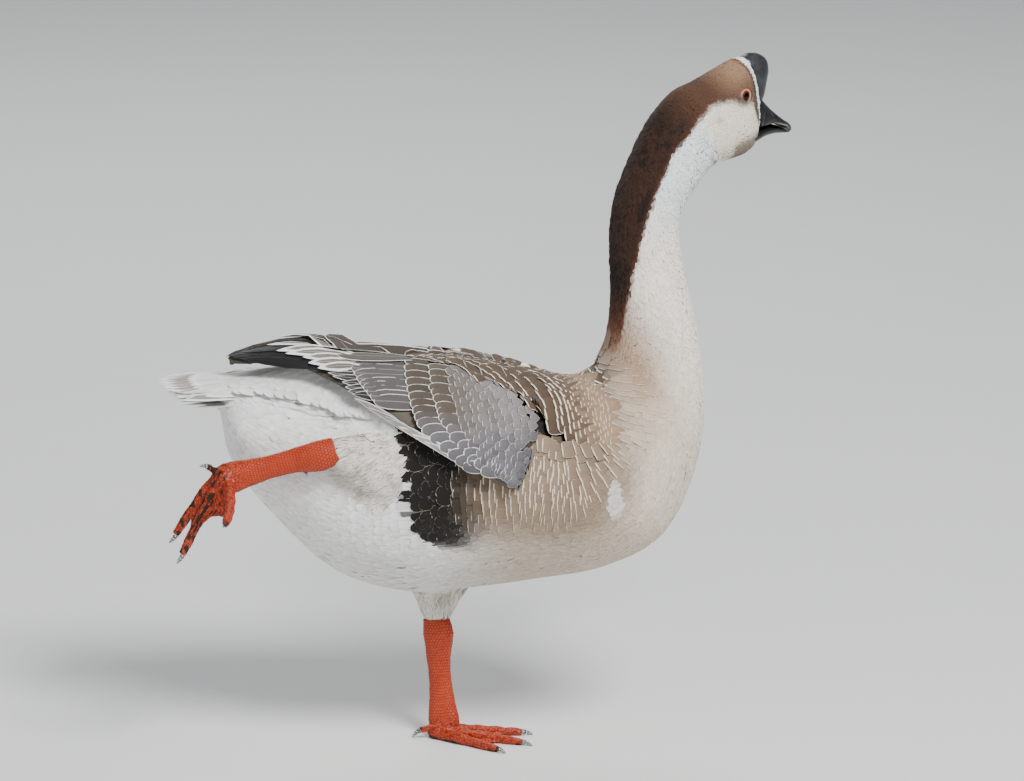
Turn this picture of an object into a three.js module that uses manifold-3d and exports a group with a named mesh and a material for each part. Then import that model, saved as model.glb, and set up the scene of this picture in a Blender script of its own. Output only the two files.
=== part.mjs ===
// A life-size model of a brown Chinese goose, a knob-billed domestic goose. It stands on its left leg,
// stretches its right leg out behind it, lets its right wing hang a little and looks away to its left.
//
// Millimetres. +X is the way the body faces, +Y the bird's left and +Z up. The origin is on
// the floor beside the standing foot's ball. Every soft form is a loft: a closed skin over oval sections.
import * as THREE from "three";
import { mergeVertices } from "three/addons/utils/BufferGeometryUtils.js";
import Module from "manifold-3d";

const wasm = await Module();
wasm.setup();

// ---------------------------------------------------------------- driving dimensions
const GAP = 0.3; // clearance between pieces that touch
const SLACK = 0.06; // how far a cut surface may move when its smallest triangles are merged
const BODY_Y = -4; // the body's middle plane: the weight is balanced over the standing foot
const HEAD = { x: 261, y: 56, z: 622, yaw: 48, pitch: -9, roll: 6 }; // midpoint between the eyes
const EYE = { radius: 8.2, side: 14.6 }; // eyeball, and its centre's distance from the head's middle
const TOES = {
  inner: { length: 68, root: -8, yaw: -18, curl: 4, joints: 2 },
  middle: { length: 80, root: 0, yaw: 0, curl: 4, joints: 3 },
  outer: { length: 73, root: 8, yaw: 18, curl: 4, joints: 4 },
}; // root is the toe's start across the foot, yaw its heading, curl how far it bends down
const TOE_WIDTH = { root: 12, tip: 7.6 };
const WEB = { thickness: 1.6, reach: 0.86, hollow: 0.24 }; // shares of the toes' lengths
const HALLUX = { length: 20, root: -7, yaw: 196, curl: 30, width: 6.6, joints: 1 };
const CLAW = { length: 11, radius: 2.9 };
const BALL = { along: 17, across: 13.5, up: 10 }; // half sizes of the foot's ball
const BALL_LEVEL = 5.4; // the height of the standing foot's joint
const STANDING = { ankle: [-16.3, 10, 94], joint: [-11.3, 0, 8.4], turn: -19, front: [1, -0.2, 0] };
const RAISED = {
  ankle: [-132, -102, 306],
  joint: [-216, -100, 284],
  front: [0.2, -0.45, -0.9],
  forward: [-0.54, -0.33, -0.78],
  up: [0.61, 0.49, -0.63],
  inner: { yaw: -13, curl: -12 },
  middle: { yaw: 3, curl: -8 },
  outer: { yaw: 56, curl: 30 },
  hind: { yaw: 196, curl: 46, droop: 63 },
}; // droop is how far a toe already points down at its root

const COLOURS = {
  white: 0xe9e7e2,
  buff: 0xcbb9a3,
  hood: 0x5a3a2a,
  grey: 0x77706c,
  black: 0x1c1b1b,
  bill: 0x1f2022,
  leg: 0xd0502a,
  eye: 0x7a3c1c,
  claw: 0x2a2522,
};

// ---------------------------------------------------------------- sections and lofts
const rad = THREE.MathUtils.degToRad;
const vec = (x, y, z) => new THREE.Vector3(x, y, z);

// An oval section: its centre, the half vectors to its dorsal edge and to its right edge, the level of
// its widest line from -1, ventral, to 1, dorsal, and its squareness, 2 for an ellipse.
const section = (centre, dorsal, right, widest = 0, power = 2) => ({
  centre,
  dorsal,
  right,
  shape: vec(widest, power, 0),
});

// A section through the points where the profile is cut, at the top and at the bottom, in the body's
// upright plane. yaw turns it about its own upright axis, and y moves it sideways.
function profileSection({ top, bottom, width, widest = 0, power = 2, yaw = 0, y = BODY_Y }) {
  const half = vec((top[0] - bottom[0]) / 2, 0, (top[1] - bottom[1]) / 2);
  half.applyAxisAngle(vec(0, 0, 1), rad(yaw));
  const right = vec(0, -width / 2, 0).applyAxisAngle(vec(0, 0, 1), rad(yaw));
  return section(vec((top[0] + bottom[0]) / 2, y, (top[1] + bottom[1]) / 2), half, right, widest, power);
}

// One value of a uniform Catmull-Rom spline through the sections, at t from 0 to 1.
function sectionAt(sections, t) {
  const at = (key) =>
    new THREE.CatmullRomCurve3(sections.map((s) => s[key]), false, "catmullrom", 0.5).getPoint(t);
  return { centre: at("centre"), dorsal: at("dorsal"), right: at("right"), shape: at("shape") };
}

const signedPower = (value, power) => Math.sign(value) * Math.abs(value) ** power;

// The points round one section, from its dorsal edge towards its right edge.
function sectionPoints({ centre, dorsal, right, shape }, sides) {
  const points = [];
  for (let j = 0; j < sides; j++) {
    const angle = (2 * Math.PI * j) / sides;
    const up = signedPower(Math.cos(angle), 2 / shape.y);
    const across = signedPower(Math.sin(angle), 2 / shape.y);
    const level = shape.x + (up >= 0 ? 1 - shape.x : 1 + shape.x) * up;
    points.push(centre.clone().addScaledVector(dorsal, level).addScaledVector(right, across));
  }
  return points;
}

// A closed skin over the sections from t = from to t = to, with flat ends. Faces point out.
function loft(sections, rings, sides, from = 0, to = 1) {
  const points = [];
  const faces = [];
  for (let i = 0; i <= rings; i++) {
    points.push(...sectionPoints(sectionAt(sections, from + ((to - from) * i) / rings), sides));
  }
  for (let i = 0; i < rings; i++) {
    for (let j = 0; j < sides; j++) {
      const a = i * sides + j;
      const b = i * sides + ((j + 1) % sides);
      faces.push(a, b, b + sides, a, b + sides, a + sides);
    }
  }
  const ends = [from, to].map((t) => {
    points.push(sectionAt(sections, t).centre);
    return points.length - 1;
  });
  for (let j = 0; j < sides; j++) {
    const next = (j + 1) % sides;
    faces.push(ends[0], next, j, ends[1], rings * sides + j, rings * sides + next);
  }
  return facingOut(geometryOf(points, faces));
}

function geometryOf(points, faces) {
  const geometry = new THREE.BufferGeometry().setFromPoints(points);
  geometry.setIndex(faces);
  return geometry;
}

function facingOut(geometry) {
  const index = geometry.index.array;
  const corner = [vec(), vec(), vec()];
  let volume = 0;
  for (let i = 0; i < index.length; i += 3) {
    corner.forEach((c, k) => c.fromBufferAttribute(geometry.attributes.position, index[i + k]));
    volume += corner[0].dot(corner[1].clone().cross(corner[2])) / 6;
  }
  if (volume < 0) {
    for (let i = 0; i < index.length; i += 3) [index[i], index[i + 1]] = [index[i + 1], index[i]];
  }
  return geometry;
}

// ---------------------------------------------------------------- solids
function solidOf(geometry) {
  const bare = geometry.clone();
  bare.deleteAttribute("normal");
  bare.deleteAttribute("uv");
  const merged = mergeVertices(bare, 1e-3);
  return new wasm.Manifold(
    new wasm.Mesh({
      numProp: 3,
      vertProperties: new Float32Array(merged.attributes.position.array),
      triVerts: new Uint32Array(merged.index.array),
    }),
  );
}

function geometryFrom(solid) {
  const mesh = solid.getMesh();
  const geometry = new THREE.BufferGeometry();
  geometry.setAttribute("position", new THREE.BufferAttribute(new Float32Array(mesh.vertProperties), 3));
  geometry.setIndex(new THREE.BufferAttribute(new Uint32Array(mesh.triVerts), 1));
  return geometry;
}

// The same solid with each vertex moved out along its normal, to cut a neighbour with clearance.
function grown(solid, by = GAP) {
  const geometry = geometryFrom(solid);
  geometry.computeVertexNormals();
  const place = geometry.attributes.position;
  const normal = geometry.attributes.normal;
  for (let i = 0; i < place.count; i++) {
    const moved = vec().fromBufferAttribute(place, i);
    moved.addScaledVector(vec().fromBufferAttribute(normal, i), by);
    place.setXYZ(i, moved.x, moved.y, moved.z);
  }
  return solidOf(geometry);
}

const cutBy = (solid, ...neighbours) =>
  largest(
    neighbours.reduce((rest, neighbour) => rest.subtract(neighbour.add(grown(neighbour))), solid),
  );

const joined = (...solids) => solids.reduce((all, one) => all.add(one));

const largest = (solid) =>
  solid
    .decompose()
    .reduce((best, one) => (one.volume() > best.volume() ? one : best))
    .simplify(SLACK);

const shapeOf = (sections, rings, sides, from, to) => solidOf(loft(sections, rings, sides, from, to));

// ---------------------------------------------------------------- the body, from tail root to throat
const TRUNK_SECTIONS = [
  { top: [-212, 357], bottom: [-233, 337], width: 66, power: 2.2 },
  { top: [-196, 361], bottom: [-221, 318], width: 98, power: 2.1 },
  { top: [-176, 365], bottom: [-213, 284], width: 124, widest: -0.05 },
  { top: [-150, 369], bottom: [-182, 238], width: 146, widest: -0.05 },
  { top: [-108, 374], bottom: [-118, 175], width: 166, widest: -0.05 },
  { top: [-55, 377], bottom: [-50, 151], width: 178, widest: 0 },
  { top: [5, 374], bottom: [12, 154], width: 182, widest: 0.05 },
  { top: [62, 364], bottom: [78, 163], width: 178, widest: 0.05 },
  { top: [104, 357], bottom: [142, 175], width: 166, widest: 0 },
  { top: [126, 364], bottom: [196, 204], width: 148, widest: 0 },
  { top: [139, 380], bottom: [227, 262], width: 124, widest: 0 },
  { top: [145, 405], bottom: [237, 328], width: 100, widest: 0 },
].map(profileSection);
const NECK_SECTIONS = [
  { top: [148, 438], bottom: [231, 398], width: 80, y: BODY_Y },
  { top: [147, 470], bottom: [220, 450], width: 66, yaw: 6, y: BODY_Y },
  { top: [146.7, 504], bottom: [213.2, 490], width: 58, yaw: 15, y: BODY_Y + 2 },
  { top: [153, 542.5], bottom: [216.3, 517.4], width: 55, yaw: 26, y: BODY_Y + 6 },
  { top: [176.4, 600], bottom: [236.3, 544], width: 54, yaw: 38, y: BODY_Y + 17 },
].map(profileSection);

// ---------------------------------------------------------------- the head
// The head's own frame: forward along the bill, up, and right, with its origin between the eyes.
const headFrame = new THREE.Matrix4().makeRotationFromEuler(
  new THREE.Euler(rad(HEAD.roll), rad(-HEAD.pitch), rad(HEAD.yaw), "ZYX"),
);
headFrame.setPosition(HEAD.x, HEAD.y, HEAD.z);
const inHead = (forward, up, right = 0) => vec(forward, -right, up).applyMatrix4(headFrame);
const headVector = (forward, up, right = 0) => inHead(forward, up, right).sub(inHead(0, 0));

function headSection({ top, bottom, width, widest = 0, power = 2 }) {
  const middle = inHead((top[0] + bottom[0]) / 2, (top[1] + bottom[1]) / 2);
  const half = headVector((top[0] - bottom[0]) / 2, (top[1] - bottom[1]) / 2);
  return section(middle, half, headVector(0, 0, width / 2), widest, power);
}

const HEAD_SECTIONS = [
  { top: [-77, -2.4], bottom: [-14.2, -72.1], width: 55.3 },
  { top: [-50.8, 9.5], bottom: [3, -67.2], width: 52 },
  { top: [-26.2, 20.7], bottom: [17.3, -64.2], width: 50.4 },
  { top: [-4.1, 31.2], bottom: [31, -61.2], width: 45.4 },
  { top: [12, 35.3], bottom: [44.5, -54.4], width: 37.8 },
].map(headSection);

const BODY_SECTIONS = [...TRUNK_SECTIONS, ...NECK_SECTIONS, ...HEAD_SECTIONS];
const sectionShare = (count) => (count - 1) / (BODY_SECTIONS.length - 1);
const TRUNK_END = sectionShare(TRUNK_SECTIONS.length);
const HEAD_START = sectionShare(TRUNK_SECTIONS.length + NECK_SECTIONS.length + 1);
const SPLIT = 7e-4; // the share of the loft left out where it is parted, about 0.4 mm

const trunk = shapeOf(BODY_SECTIONS, 22, 22, 0, TRUNK_END);
const neck = shapeOf(BODY_SECTIONS, 14, 20, TRUNK_END + SPLIT, HEAD_START - SPLIT);
const headWhole = shapeOf(BODY_SECTIONS, 11, 18, HEAD_START, 1);

const BILL_UPPER = [
  { top: [21.8, 9.8], bottom: [40, -35.1], width: 35, widest: -0.5, power: 2.2 },
  { top: [37.2, -1.2], bottom: [47.4, -31.6], width: 34.3, widest: -0.6, power: 2.2 },
  { top: [51.7, -10.3], bottom: [57.9, -28.3], width: 31, widest: -0.7, power: 2.2 },
  { top: [65.4, -17.3], bottom: [69.9, -29.1], width: 28, widest: -0.7, power: 2.2 },
  { top: [79.4, -23.7], bottom: [82, -31], width: 25, widest: -0.6, power: 2.4 },
  { top: [91.5, -28.8], bottom: [90.5, -34], width: 19, widest: -0.4, power: 2.4 },
  { top: [99, -33], bottom: [95.5, -38], width: 9, power: 2.2 },
].map(headSection);
const BILL_LOWER = [
  { top: [30, -36], bottom: [30, -51], width: 32, widest: 0.4, power: 2.2 },
  { top: [41, -34], bottom: [40, -48.5], width: 30, widest: 0.4, power: 2.2 },
  { top: [55, -31], bottom: [53, -43], width: 26.5, widest: 0.4, power: 2.2 },
  { top: [70, -31], bottom: [69, -39.5], width: 23, widest: 0.4, power: 2.2 },
  { top: [82, -32.5], bottom: [82, -38.4], width: 19.5, widest: 0.3, power: 2.4 },
  { top: [90.5, -35.4], bottom: [90, -38.2], width: 12, power: 2.2 },
].map(headSection);
const KNOB = [
  { top: [44.2, -10.3], bottom: [20.4, -13.9], width: 20.3 },
  { top: [45.4, 0.3], bottom: [15.6, -4], width: 27 },
  { top: [45.5, 14.9], bottom: [11.2, 7.7], width: 28.6 },
  { top: [45.2, 25.4], bottom: [7.6, 17.3], width: 28 },
  { top: [40.4, 34.2], bottom: [6.1, 25.8], width: 24 },
  { top: [31.5, 37.9], bottom: [8.6, 32.7], width: 14 },
  { top: [22.9, 38.3], bottom: [16.7, 37.8], width: 4 },
].map(headSection);

const knob = cutBy(shapeOf(KNOB, 8, 12), headWhole);
const billUpper = cutBy(shapeOf(BILL_UPPER, 10, 14), headWhole, knob);
const billLower = cutBy(shapeOf(BILL_LOWER, 6, 12), headWhole, billUpper);

function eyeball(side) {
  const ball = new THREE.SphereGeometry(EYE.radius, 10, 7);
  const centre = inHead(0, 0, side * EYE.side);
  return solidOf(ball.translate(centre.x, centre.y, centre.z));
}
const eyes = { right: eyeball(1), left: eyeball(-1) };
const head = cutBy(headWhole, eyes.right, eyes.left);

// ---------------------------------------------------------------- tail
const TAIL = [
  { top: [-196, 360], bottom: [-208, 340], width: 70, power: 2.2 },
  { top: [-214, 360], bottom: [-220, 341], width: 84, power: 2.4 },
  { top: [-236, 359], bottom: [-238, 345], width: 98, power: 2.8 },
  { top: [-256, 356], bottom: [-257, 346], width: 98, power: 3 },
  { top: [-272, 355], bottom: [-272, 350], width: 74, power: 3 },
].map(profileSection);
const tail = cutBy(shapeOf(TAIL, 6, 14), trunk);

// ---------------------------------------------------------------- wings
// A wing section runs from the wing's upper edge, on the back, to its lower edge, on the flank. Each
// edge is x, distance from the middle plane, z. side is 1 for the right wing and -1 for the left.
function wingSections(side, rows) {
  return rows.map(({ upper, lower, thick, power = 2.3 }) => {
    const top = vec(upper[0], BODY_Y - side * upper[1], upper[2]);
    const low = vec(lower[0], BODY_Y - side * lower[1], lower[2]);
    const half = top.clone().sub(low).multiplyScalar(0.5);
    const outward = vec(0, -side * half.z, side * half.y).setLength(thick / 2);
    return section(top.add(low).multiplyScalar(0.5), half, outward, 0, power);
  });
}

const RIGHT_WING = [
  { upper: [84, 66, 332], lower: [66, 90, 284], thick: 14 },
  { upper: [73, 62, 350], lower: [57, 98, 268], thick: 26 },
  { upper: [42, 48, 364], lower: [28, 100, 282], thick: 32 },
  { upper: [8, 30, 374], lower: [-2, 98, 300], thick: 32 },
  { upper: [-34, 20, 380], lower: [-38, 92, 322], thick: 30 },
  { upper: [-78, 16, 382], lower: [-80, 78, 350], thick: 26 },
  { upper: [-118, 14, 386], lower: [-116, 60, 366], thick: 16 },
  { upper: [-150, 14, 389], lower: [-148, 44, 380], thick: 8 },
];
const LEFT_WING = [
  { upper: [112, 56, 326], lower: [108, 74, 302], thick: 14 },
  { upper: [96, 54, 343], lower: [92, 88, 288], thick: 24 },
  { upper: [58, 44, 360], lower: [52, 97, 280], thick: 30 },
  { upper: [12, 30, 373], lower: [6, 99, 288], thick: 32 },
  { upper: [-34, 20, 379], lower: [-38, 94, 306], thick: 30 },
  { upper: [-78, 16, 381], lower: [-80, 80, 334], thick: 26 },
  { upper: [-118, 14, 385], lower: [-116, 62, 358], thick: 16 },
  { upper: [-150, 14, 389], lower: [-148, 46, 374], thick: 8 },
];
const wings = {
  right: cutBy(shapeOf(wingSections(1, RIGHT_WING), 12, 14), trunk, neck),
  left: cutBy(shapeOf(wingSections(-1, LEFT_WING), 12, 14), trunk, neck),
};

// The black flight feathers that come out behind a wing and lie over the root of the tail.
const PRIMARIES = [
  { upper: [-104, 18, 388], lower: [-100, 58, 370], thick: 8 },
  { upper: [-132, 14, 393], lower: [-128, 50, 374], thick: 11 },
  { upper: [-164, 6, 394], lower: [-160, 38, 377], thick: 10 },
  { upper: [-192, 1, 388], lower: [-190, 24, 375], thick: 8 },
  { upper: [-216, 1, 378], lower: [-214, 11, 371], thick: 4 },
];
const primaries = {
  right: cutBy(shapeOf(wingSections(1, PRIMARIES), 8, 10), trunk, tail, wings.right),
  left: null,
};
primaries.left = cutBy(
  shapeOf(wingSections(-1, PRIMARIES), 8, 10),
  trunk,
  tail,
  wings.left,
  primaries.right,
);

// ---------------------------------------------------------------- legs
// A limb is a loft along a line of places. Its depth runs to the side that front points to.
function limb(front, rows, rings, sides) {
  const sections = rows.map(({ at, depth, width, power = 2 }, i) => {
    const before = vec(...rows[Math.max(i - 1, 0)].at);
    const after = vec(...rows[Math.min(i + 1, rows.length - 1)].at);
    const along = after.sub(before).normalize();
    const right = along.clone().cross(front).normalize();
    const ahead = right.clone().cross(along).normalize();
    const half = ahead.multiplyScalar(depth / 2);
    return section(vec(...at), half, right.multiplyScalar(width / 2), 0, power);
  });
  return shapeOf(sections, rings, sides);
}

// A bare shank, from the feather edge above the ankle to the foot. share is 0 at the ankle and 1 at
// the foot's joint, and lean moves a section towards the front.
const SHANK = [
  { share: -0.27, depth: 24.5, width: 19.5, lean: -1 },
  { share: -0.1, depth: 30, width: 22, lean: 1 },
  { share: 0.05, depth: 27, width: 21, lean: 0.5 },
  { share: 0.2, depth: 23.5, width: 17, lean: -0.5 },
  { share: 0.45, depth: 22, width: 15, lean: 0 },
  { share: 0.7, depth: 26, width: 16, lean: 0.5 },
  { share: 0.9, depth: 31, width: 18.5, lean: 1 },
  { share: 1.04, depth: 28, width: 20, lean: 2 },
];
function shank({ ankle, joint, front }) {
  const ahead = vec(...front).normalize();
  const rows = SHANK.map(({ share, depth, width, lean }) => {
    const at = vec(...ankle).lerp(vec(...joint), share).addScaledVector(ahead, lean);
    return { at: at.toArray(), depth, width };
  });
  return limb(ahead, rows, 12, 12);
}

function toeHeading(stance, toe) {
  const across = stance.outer.clone().multiplyScalar(Math.sin(rad(toe.yaw)));
  return stance.forward.clone().multiplyScalar(Math.cos(rad(toe.yaw))).add(across);
}

// The way out of a toe's upper side, halfway along it.
function toeBack(stance, toe) {
  const bend = rad((toe.droop ?? 0) + toe.curl / 2);
  const back = stance.up.clone().multiplyScalar(Math.cos(bend));
  return back.addScaledVector(toeHeading(stance, toe), Math.sin(bend));
}

// A toe's middle line: it starts at the foot's joint, heads yaw degrees to the outer side and curls
// down by curl degrees over its length.
function toeLine(stance, toe, share) {
  const at = stance.joint.clone().addScaledVector(stance.outer, toe.root);
  const heading = toeHeading(stance, toe);
  const steps = 16;
  for (let i = 0; i < steps; i++) {
    const bend = rad((toe.droop ?? 0) + (toe.curl * share * (i + 0.5)) / steps);
    const step = (toe.length * share) / steps;
    at.addScaledVector(heading, step * Math.cos(bend)).addScaledVector(stance.up, -step * Math.sin(bend));
  }
  return at;
}

// A toe has a pad under each of its joints.
function toeSolid(stance, toe, width = TOE_WIDTH) {
  const count = 2 * toe.joints;
  const rows = [];
  for (let i = 0; i <= count; i++) {
    const share = i / count;
    const swell = [0.94, 1.12][i % 2];
    const size = (width.root + (width.tip - width.root) * share) * swell;
    rows.push({ at: toeLine(stance, toe, 0.06 + 0.94 * share).toArray(), depth: size, width: size });
  }
  return limb(toeBack(stance, toe), rows, count, 7);
}

// The web between two toes: a thin sheet that ends in a hollow curve between the toe tips.
function web(stance, first, second) {
  const rows = 3;
  const columns = 4;
  const points = [];
  const faces = [];
  for (const layer of [1, -1]) {
    for (let i = 0; i <= rows; i++) {
      for (let j = 0; j <= columns; j++) {
        const across = j / columns;
        const reach = WEB.reach - WEB.hollow * Math.sin(Math.PI * across);
        const share = 0.1 + (reach - 0.1) * (i / rows);
        const at = toeLine(stance, first, share).lerp(toeLine(stance, second, share), across);
        points.push(at.addScaledVector(stance.up, (layer * WEB.thickness) / 2 - 2.2));
      }
    }
  }
  const stride = columns + 1;
  const other = (rows + 1) * stride;
  const quad = (p, q, r, t) => faces.push(p, q, r, p, r, t);
  for (let i = 0; i < rows; i++) {
    for (let j = 0; j < columns; j++) {
      const p = i * stride + j;
      quad(p, p + 1, p + stride + 1, p + stride);
      quad(other + p, other + p + stride, other + p + stride + 1, other + p + 1);
    }
  }
  const rim = (p, q) => quad(q, p, other + p, other + q);
  for (let j = 0; j < columns; j++) {
    rim(j, j + 1);
    rim(rows * stride + j + 1, rows * stride + j);
  }
  for (let i = 0; i < rows; i++) {
    rim((i + 1) * stride, i * stride);
    rim(i * stride + columns, (i + 1) * stride + columns);
  }
  return solidOf(facingOut(geometryOf(points, faces)));
}

function clawSolid(stance, toe) {
  const tip = toeLine(stance, toe, 1);
  const along = tip.clone().sub(toeLine(stance, toe, 0.9)).normalize();
  const back = toeBack(stance, toe);
  const rows = [-0.2, 0.2, 0.55, 0.8, 0.97].map((share) => {
    const at = tip.clone().addScaledVector(along, CLAW.length * share);
    at.addScaledVector(back, 0.9 - 2.6 * Math.max(share, 0) ** 2);
    const size = 2 * CLAW.radius * Math.sqrt(1 - Math.max(share, 0));
    return { at: at.toArray(), depth: size, width: size };
  });
  return limb(back, rows, 5, 6);
}

// A foot: its ball, three toes with webs between them and the small hind toe; and its four claws.
// The cutters are the neighbours that it makes room for.
function footSolids(stance, ...cutters) {
  const ball = new THREE.SphereGeometry(1, 10, 6).scale(BALL.along, BALL.across, BALL.up);
  const place = new THREE.Matrix4().makeBasis(stance.forward, stance.outer, stance.up);
  ball.applyMatrix4(place.setPosition(stance.joint));
  const { inner, middle, outer } = stance.toes;
  const pieces = [web(stance, inner, middle), web(stance, middle, outer), solidOf(facingOut(ball))];
  const hind = { ...stance, joint: stance.joint.clone().addScaledVector(stance.up, stance.hindLift) };
  const hallux = { ...HALLUX, ...stance.hallux };
  for (const toe of Object.values(stance.toes)) pieces.push(toeSolid(stance, toe));
  pieces.push(toeSolid(hind, hallux, { root: hallux.width, tip: hallux.width * 0.8 }));
  const onFloor = (solid, level) => (stance.floor ? solid.trimByPlane([0, 0, 1], level) : solid);
  const foot = cutBy(onFloor(joined(...pieces).simplify(2 * SLACK), 0), ...cutters);
  const claws = { hind: cutBy(clawSolid(hind, hallux), foot) };
  for (const [name, toe] of Object.entries(stance.toes)) {
    claws[name] = cutBy(onFloor(clawSolid(stance, toe), 0.2), foot);
  }
  return { foot, claws };
}

// A foot's directions: forward along the middle toe, up out of its upper side and outer, which is to
// the right of a right foot (side 1) and to the left of a left foot (side -1).
function stanceOf(side, joint, forward, up, rest) {
  const ahead = forward.clone().normalize();
  const across = ahead.clone().cross(up).normalize();
  const over = across.clone().cross(ahead);
  return { joint, forward: ahead, up: over, outer: across.multiplyScalar(side), ...rest };
}

const heading = rad(STANDING.turn);
const standingForward = vec(Math.cos(heading), Math.sin(heading), 0);
const standing = {
  shank: shank(STANDING),
  stance: stanceOf(-1, vec(-11, 0, BALL_LEVEL), standingForward, vec(0, 0, 1), {
    toes: TOES,
    hallux: {},
    hindLift: 8,
    floor: true,
  }),
};
const raised = {
  shank: shank(RAISED),
  stance: stanceOf(1, vec(...RAISED.joint), vec(...RAISED.forward), vec(...RAISED.up), {
    toes: {
      inner: { ...TOES.inner, ...RAISED.inner },
      middle: { ...TOES.middle, ...RAISED.middle },
      outer: { ...TOES.outer, ...RAISED.outer },
    },
    hallux: RAISED.hind,
    hindLift: 4,
    floor: false,
  }),
};

// The feathered part of each leg, from the flank to just above the ankle.
const thighs = {
  left: cutBy(
    limb(vec(1, 0, 0), [
      { at: [-16, 15, 178], depth: 96, width: 64 },
      { at: [-15, 13, 158], depth: 70, width: 50 },
      { at: [-16.5, 12, 138], depth: 43, width: 34 },
      { at: [-17.3, 11.5, 123], depth: 29, width: 25 },
      { at: [-17.3, 11, 117], depth: 25, width: 21.5 },
    ], 8, 14),
    trunk,
  ),
  right: cutBy(
    limb(vec(0, 0, 1), [
      { at: [-8, -40, 262], depth: 70, width: 30 },
      { at: [-40, -65, 279], depth: 84, width: 44 },
      { at: [-66, -79, 292], depth: 68, width: 44 },
      { at: [-88, -89, 301], depth: 46, width: 35 },
      { at: [-104, -95, 306.5], depth: 31, width: 28 },
      { at: [-114, -98, 308.5], depth: 25, width: 23 },
    ], 8, 14),
    trunk,
    wings.right,
  ),
};
const shanks = { left: cutBy(standing.shank, thighs.left) };
const feet = {
  left: footSolids(standing.stance, shanks.left),
  right: footSolids(raised.stance, trunk),
};
shanks.right = cutBy(raised.shank, thighs.right, trunk, feet.right.foot);

// ---------------------------------------------------------------- the model
const group = new THREE.Group();
group.name = "goose";
function addPart(name, solid, color, roughness = 0.8) {
  const material = new THREE.MeshStandardMaterial({ color, roughness, metalness: 0 });
  const mesh = new THREE.Mesh(geometryFrom(solid), material);
  mesh.name = name;
  group.add(mesh);
}

addPart("trunk", trunk, COLOURS.white);
addPart("neck", neck, COLOURS.buff);
addPart("head", head, COLOURS.hood);
addPart("bill_upper", billUpper, COLOURS.bill, 0.4);
addPart("bill_lower", billLower, COLOURS.bill, 0.4);
addPart("knob", knob, COLOURS.bill, 0.4);
addPart("tail", tail, COLOURS.white);
for (const side of ["right", "left"]) {
  addPart(`eye_${side}`, eyes[side], COLOURS.eye, 0.1);
  addPart(`wing_${side}`, wings[side], COLOURS.grey);
  addPart(`primaries_${side}`, primaries[side], COLOURS.black);
  addPart(`thigh_${side}`, thighs[side], COLOURS.white);
  addPart(`shank_${side}`, shanks[side], COLOURS.leg, 0.5);
  addPart(`foot_${side}`, feet[side].foot, COLOURS.leg, 0.5);
  for (const [toe, claw] of Object.entries(feet[side].claws)) {
    addPart(`claw_${side}_${toe}`, claw, COLOURS.claw, 0.4);
  }
}

export default group;
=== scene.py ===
"""A knobbed, brown-naped domestic goose on one leg: its looks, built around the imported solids.

Shapes are worked out in millimetres and go into the meshes in metres. The frame is the part's own:
+X towards the breast, -Y towards the bird's right, +Z up. A tract is a field of feathers laid the
same way, and a vane is one feather: a thin closed blade along a line that follows the body.
"""

import math

import bpy
import numpy as np
from mathutils import Euler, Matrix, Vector, noise
from mathutils.bvhtree import BVHTree
from mathutils.kdtree import KDTree


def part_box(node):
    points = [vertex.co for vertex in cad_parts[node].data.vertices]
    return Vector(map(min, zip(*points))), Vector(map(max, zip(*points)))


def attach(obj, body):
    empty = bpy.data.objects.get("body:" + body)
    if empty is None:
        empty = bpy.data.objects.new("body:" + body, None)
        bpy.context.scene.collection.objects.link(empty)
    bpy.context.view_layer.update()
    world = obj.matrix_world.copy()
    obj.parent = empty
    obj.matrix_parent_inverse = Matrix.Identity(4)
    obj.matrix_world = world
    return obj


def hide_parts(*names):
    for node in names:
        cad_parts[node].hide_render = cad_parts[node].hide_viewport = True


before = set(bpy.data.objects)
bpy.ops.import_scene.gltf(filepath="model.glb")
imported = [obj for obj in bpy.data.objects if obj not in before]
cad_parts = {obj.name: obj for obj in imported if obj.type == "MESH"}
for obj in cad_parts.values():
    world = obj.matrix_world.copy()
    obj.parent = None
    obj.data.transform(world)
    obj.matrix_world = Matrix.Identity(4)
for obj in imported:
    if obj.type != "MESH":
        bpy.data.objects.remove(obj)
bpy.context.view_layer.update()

MM = 0.001
SIDES = {"right": 1, "left": -1}
rng = np.random.default_rng(4711)


# ---------------------------------------------------------------- small helpers
def paint(red, green, blue):
    """A colour given as on a screen, 0 to 255, as the linear values that shaders use."""
    share = np.array([red, green, blue], float) / 255
    return np.where(share <= 0.04045, share / 12.92, ((share + 0.055) / 1.055) ** 2.4)


def ramp(value, start, end):
    """0 before start, 1 after end, smooth between them."""
    share = np.clip((np.asarray(value, float) - start) / (end - start), 0, 1)
    return share * share * (3 - 2 * share)


def blend(first, second, share):
    """Rows of colour between two colours, or two rows of colours."""
    share = np.asarray(share, float)[..., None]
    return np.asarray(first) * (1 - share) + np.asarray(second) * share


def unit(vectors):
    return vectors / (np.linalg.norm(vectors, axis=-1, keepdims=True) + 1e-9)


def flatten_onto(vectors, normals):
    """The part of each vector that lies along the surface, at length 1."""
    return unit(vectors - normals * (vectors * normals).sum(-1, keepdims=True))


def ripple(points, size, seed=0.0):
    """Smooth noise from -1 to 1 at each point, whose lumps are about size across."""
    shift = Vector((seed, seed * 0.7, -seed))
    return np.array([noise.noise(Vector(p / size) + shift) for p in points])


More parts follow.
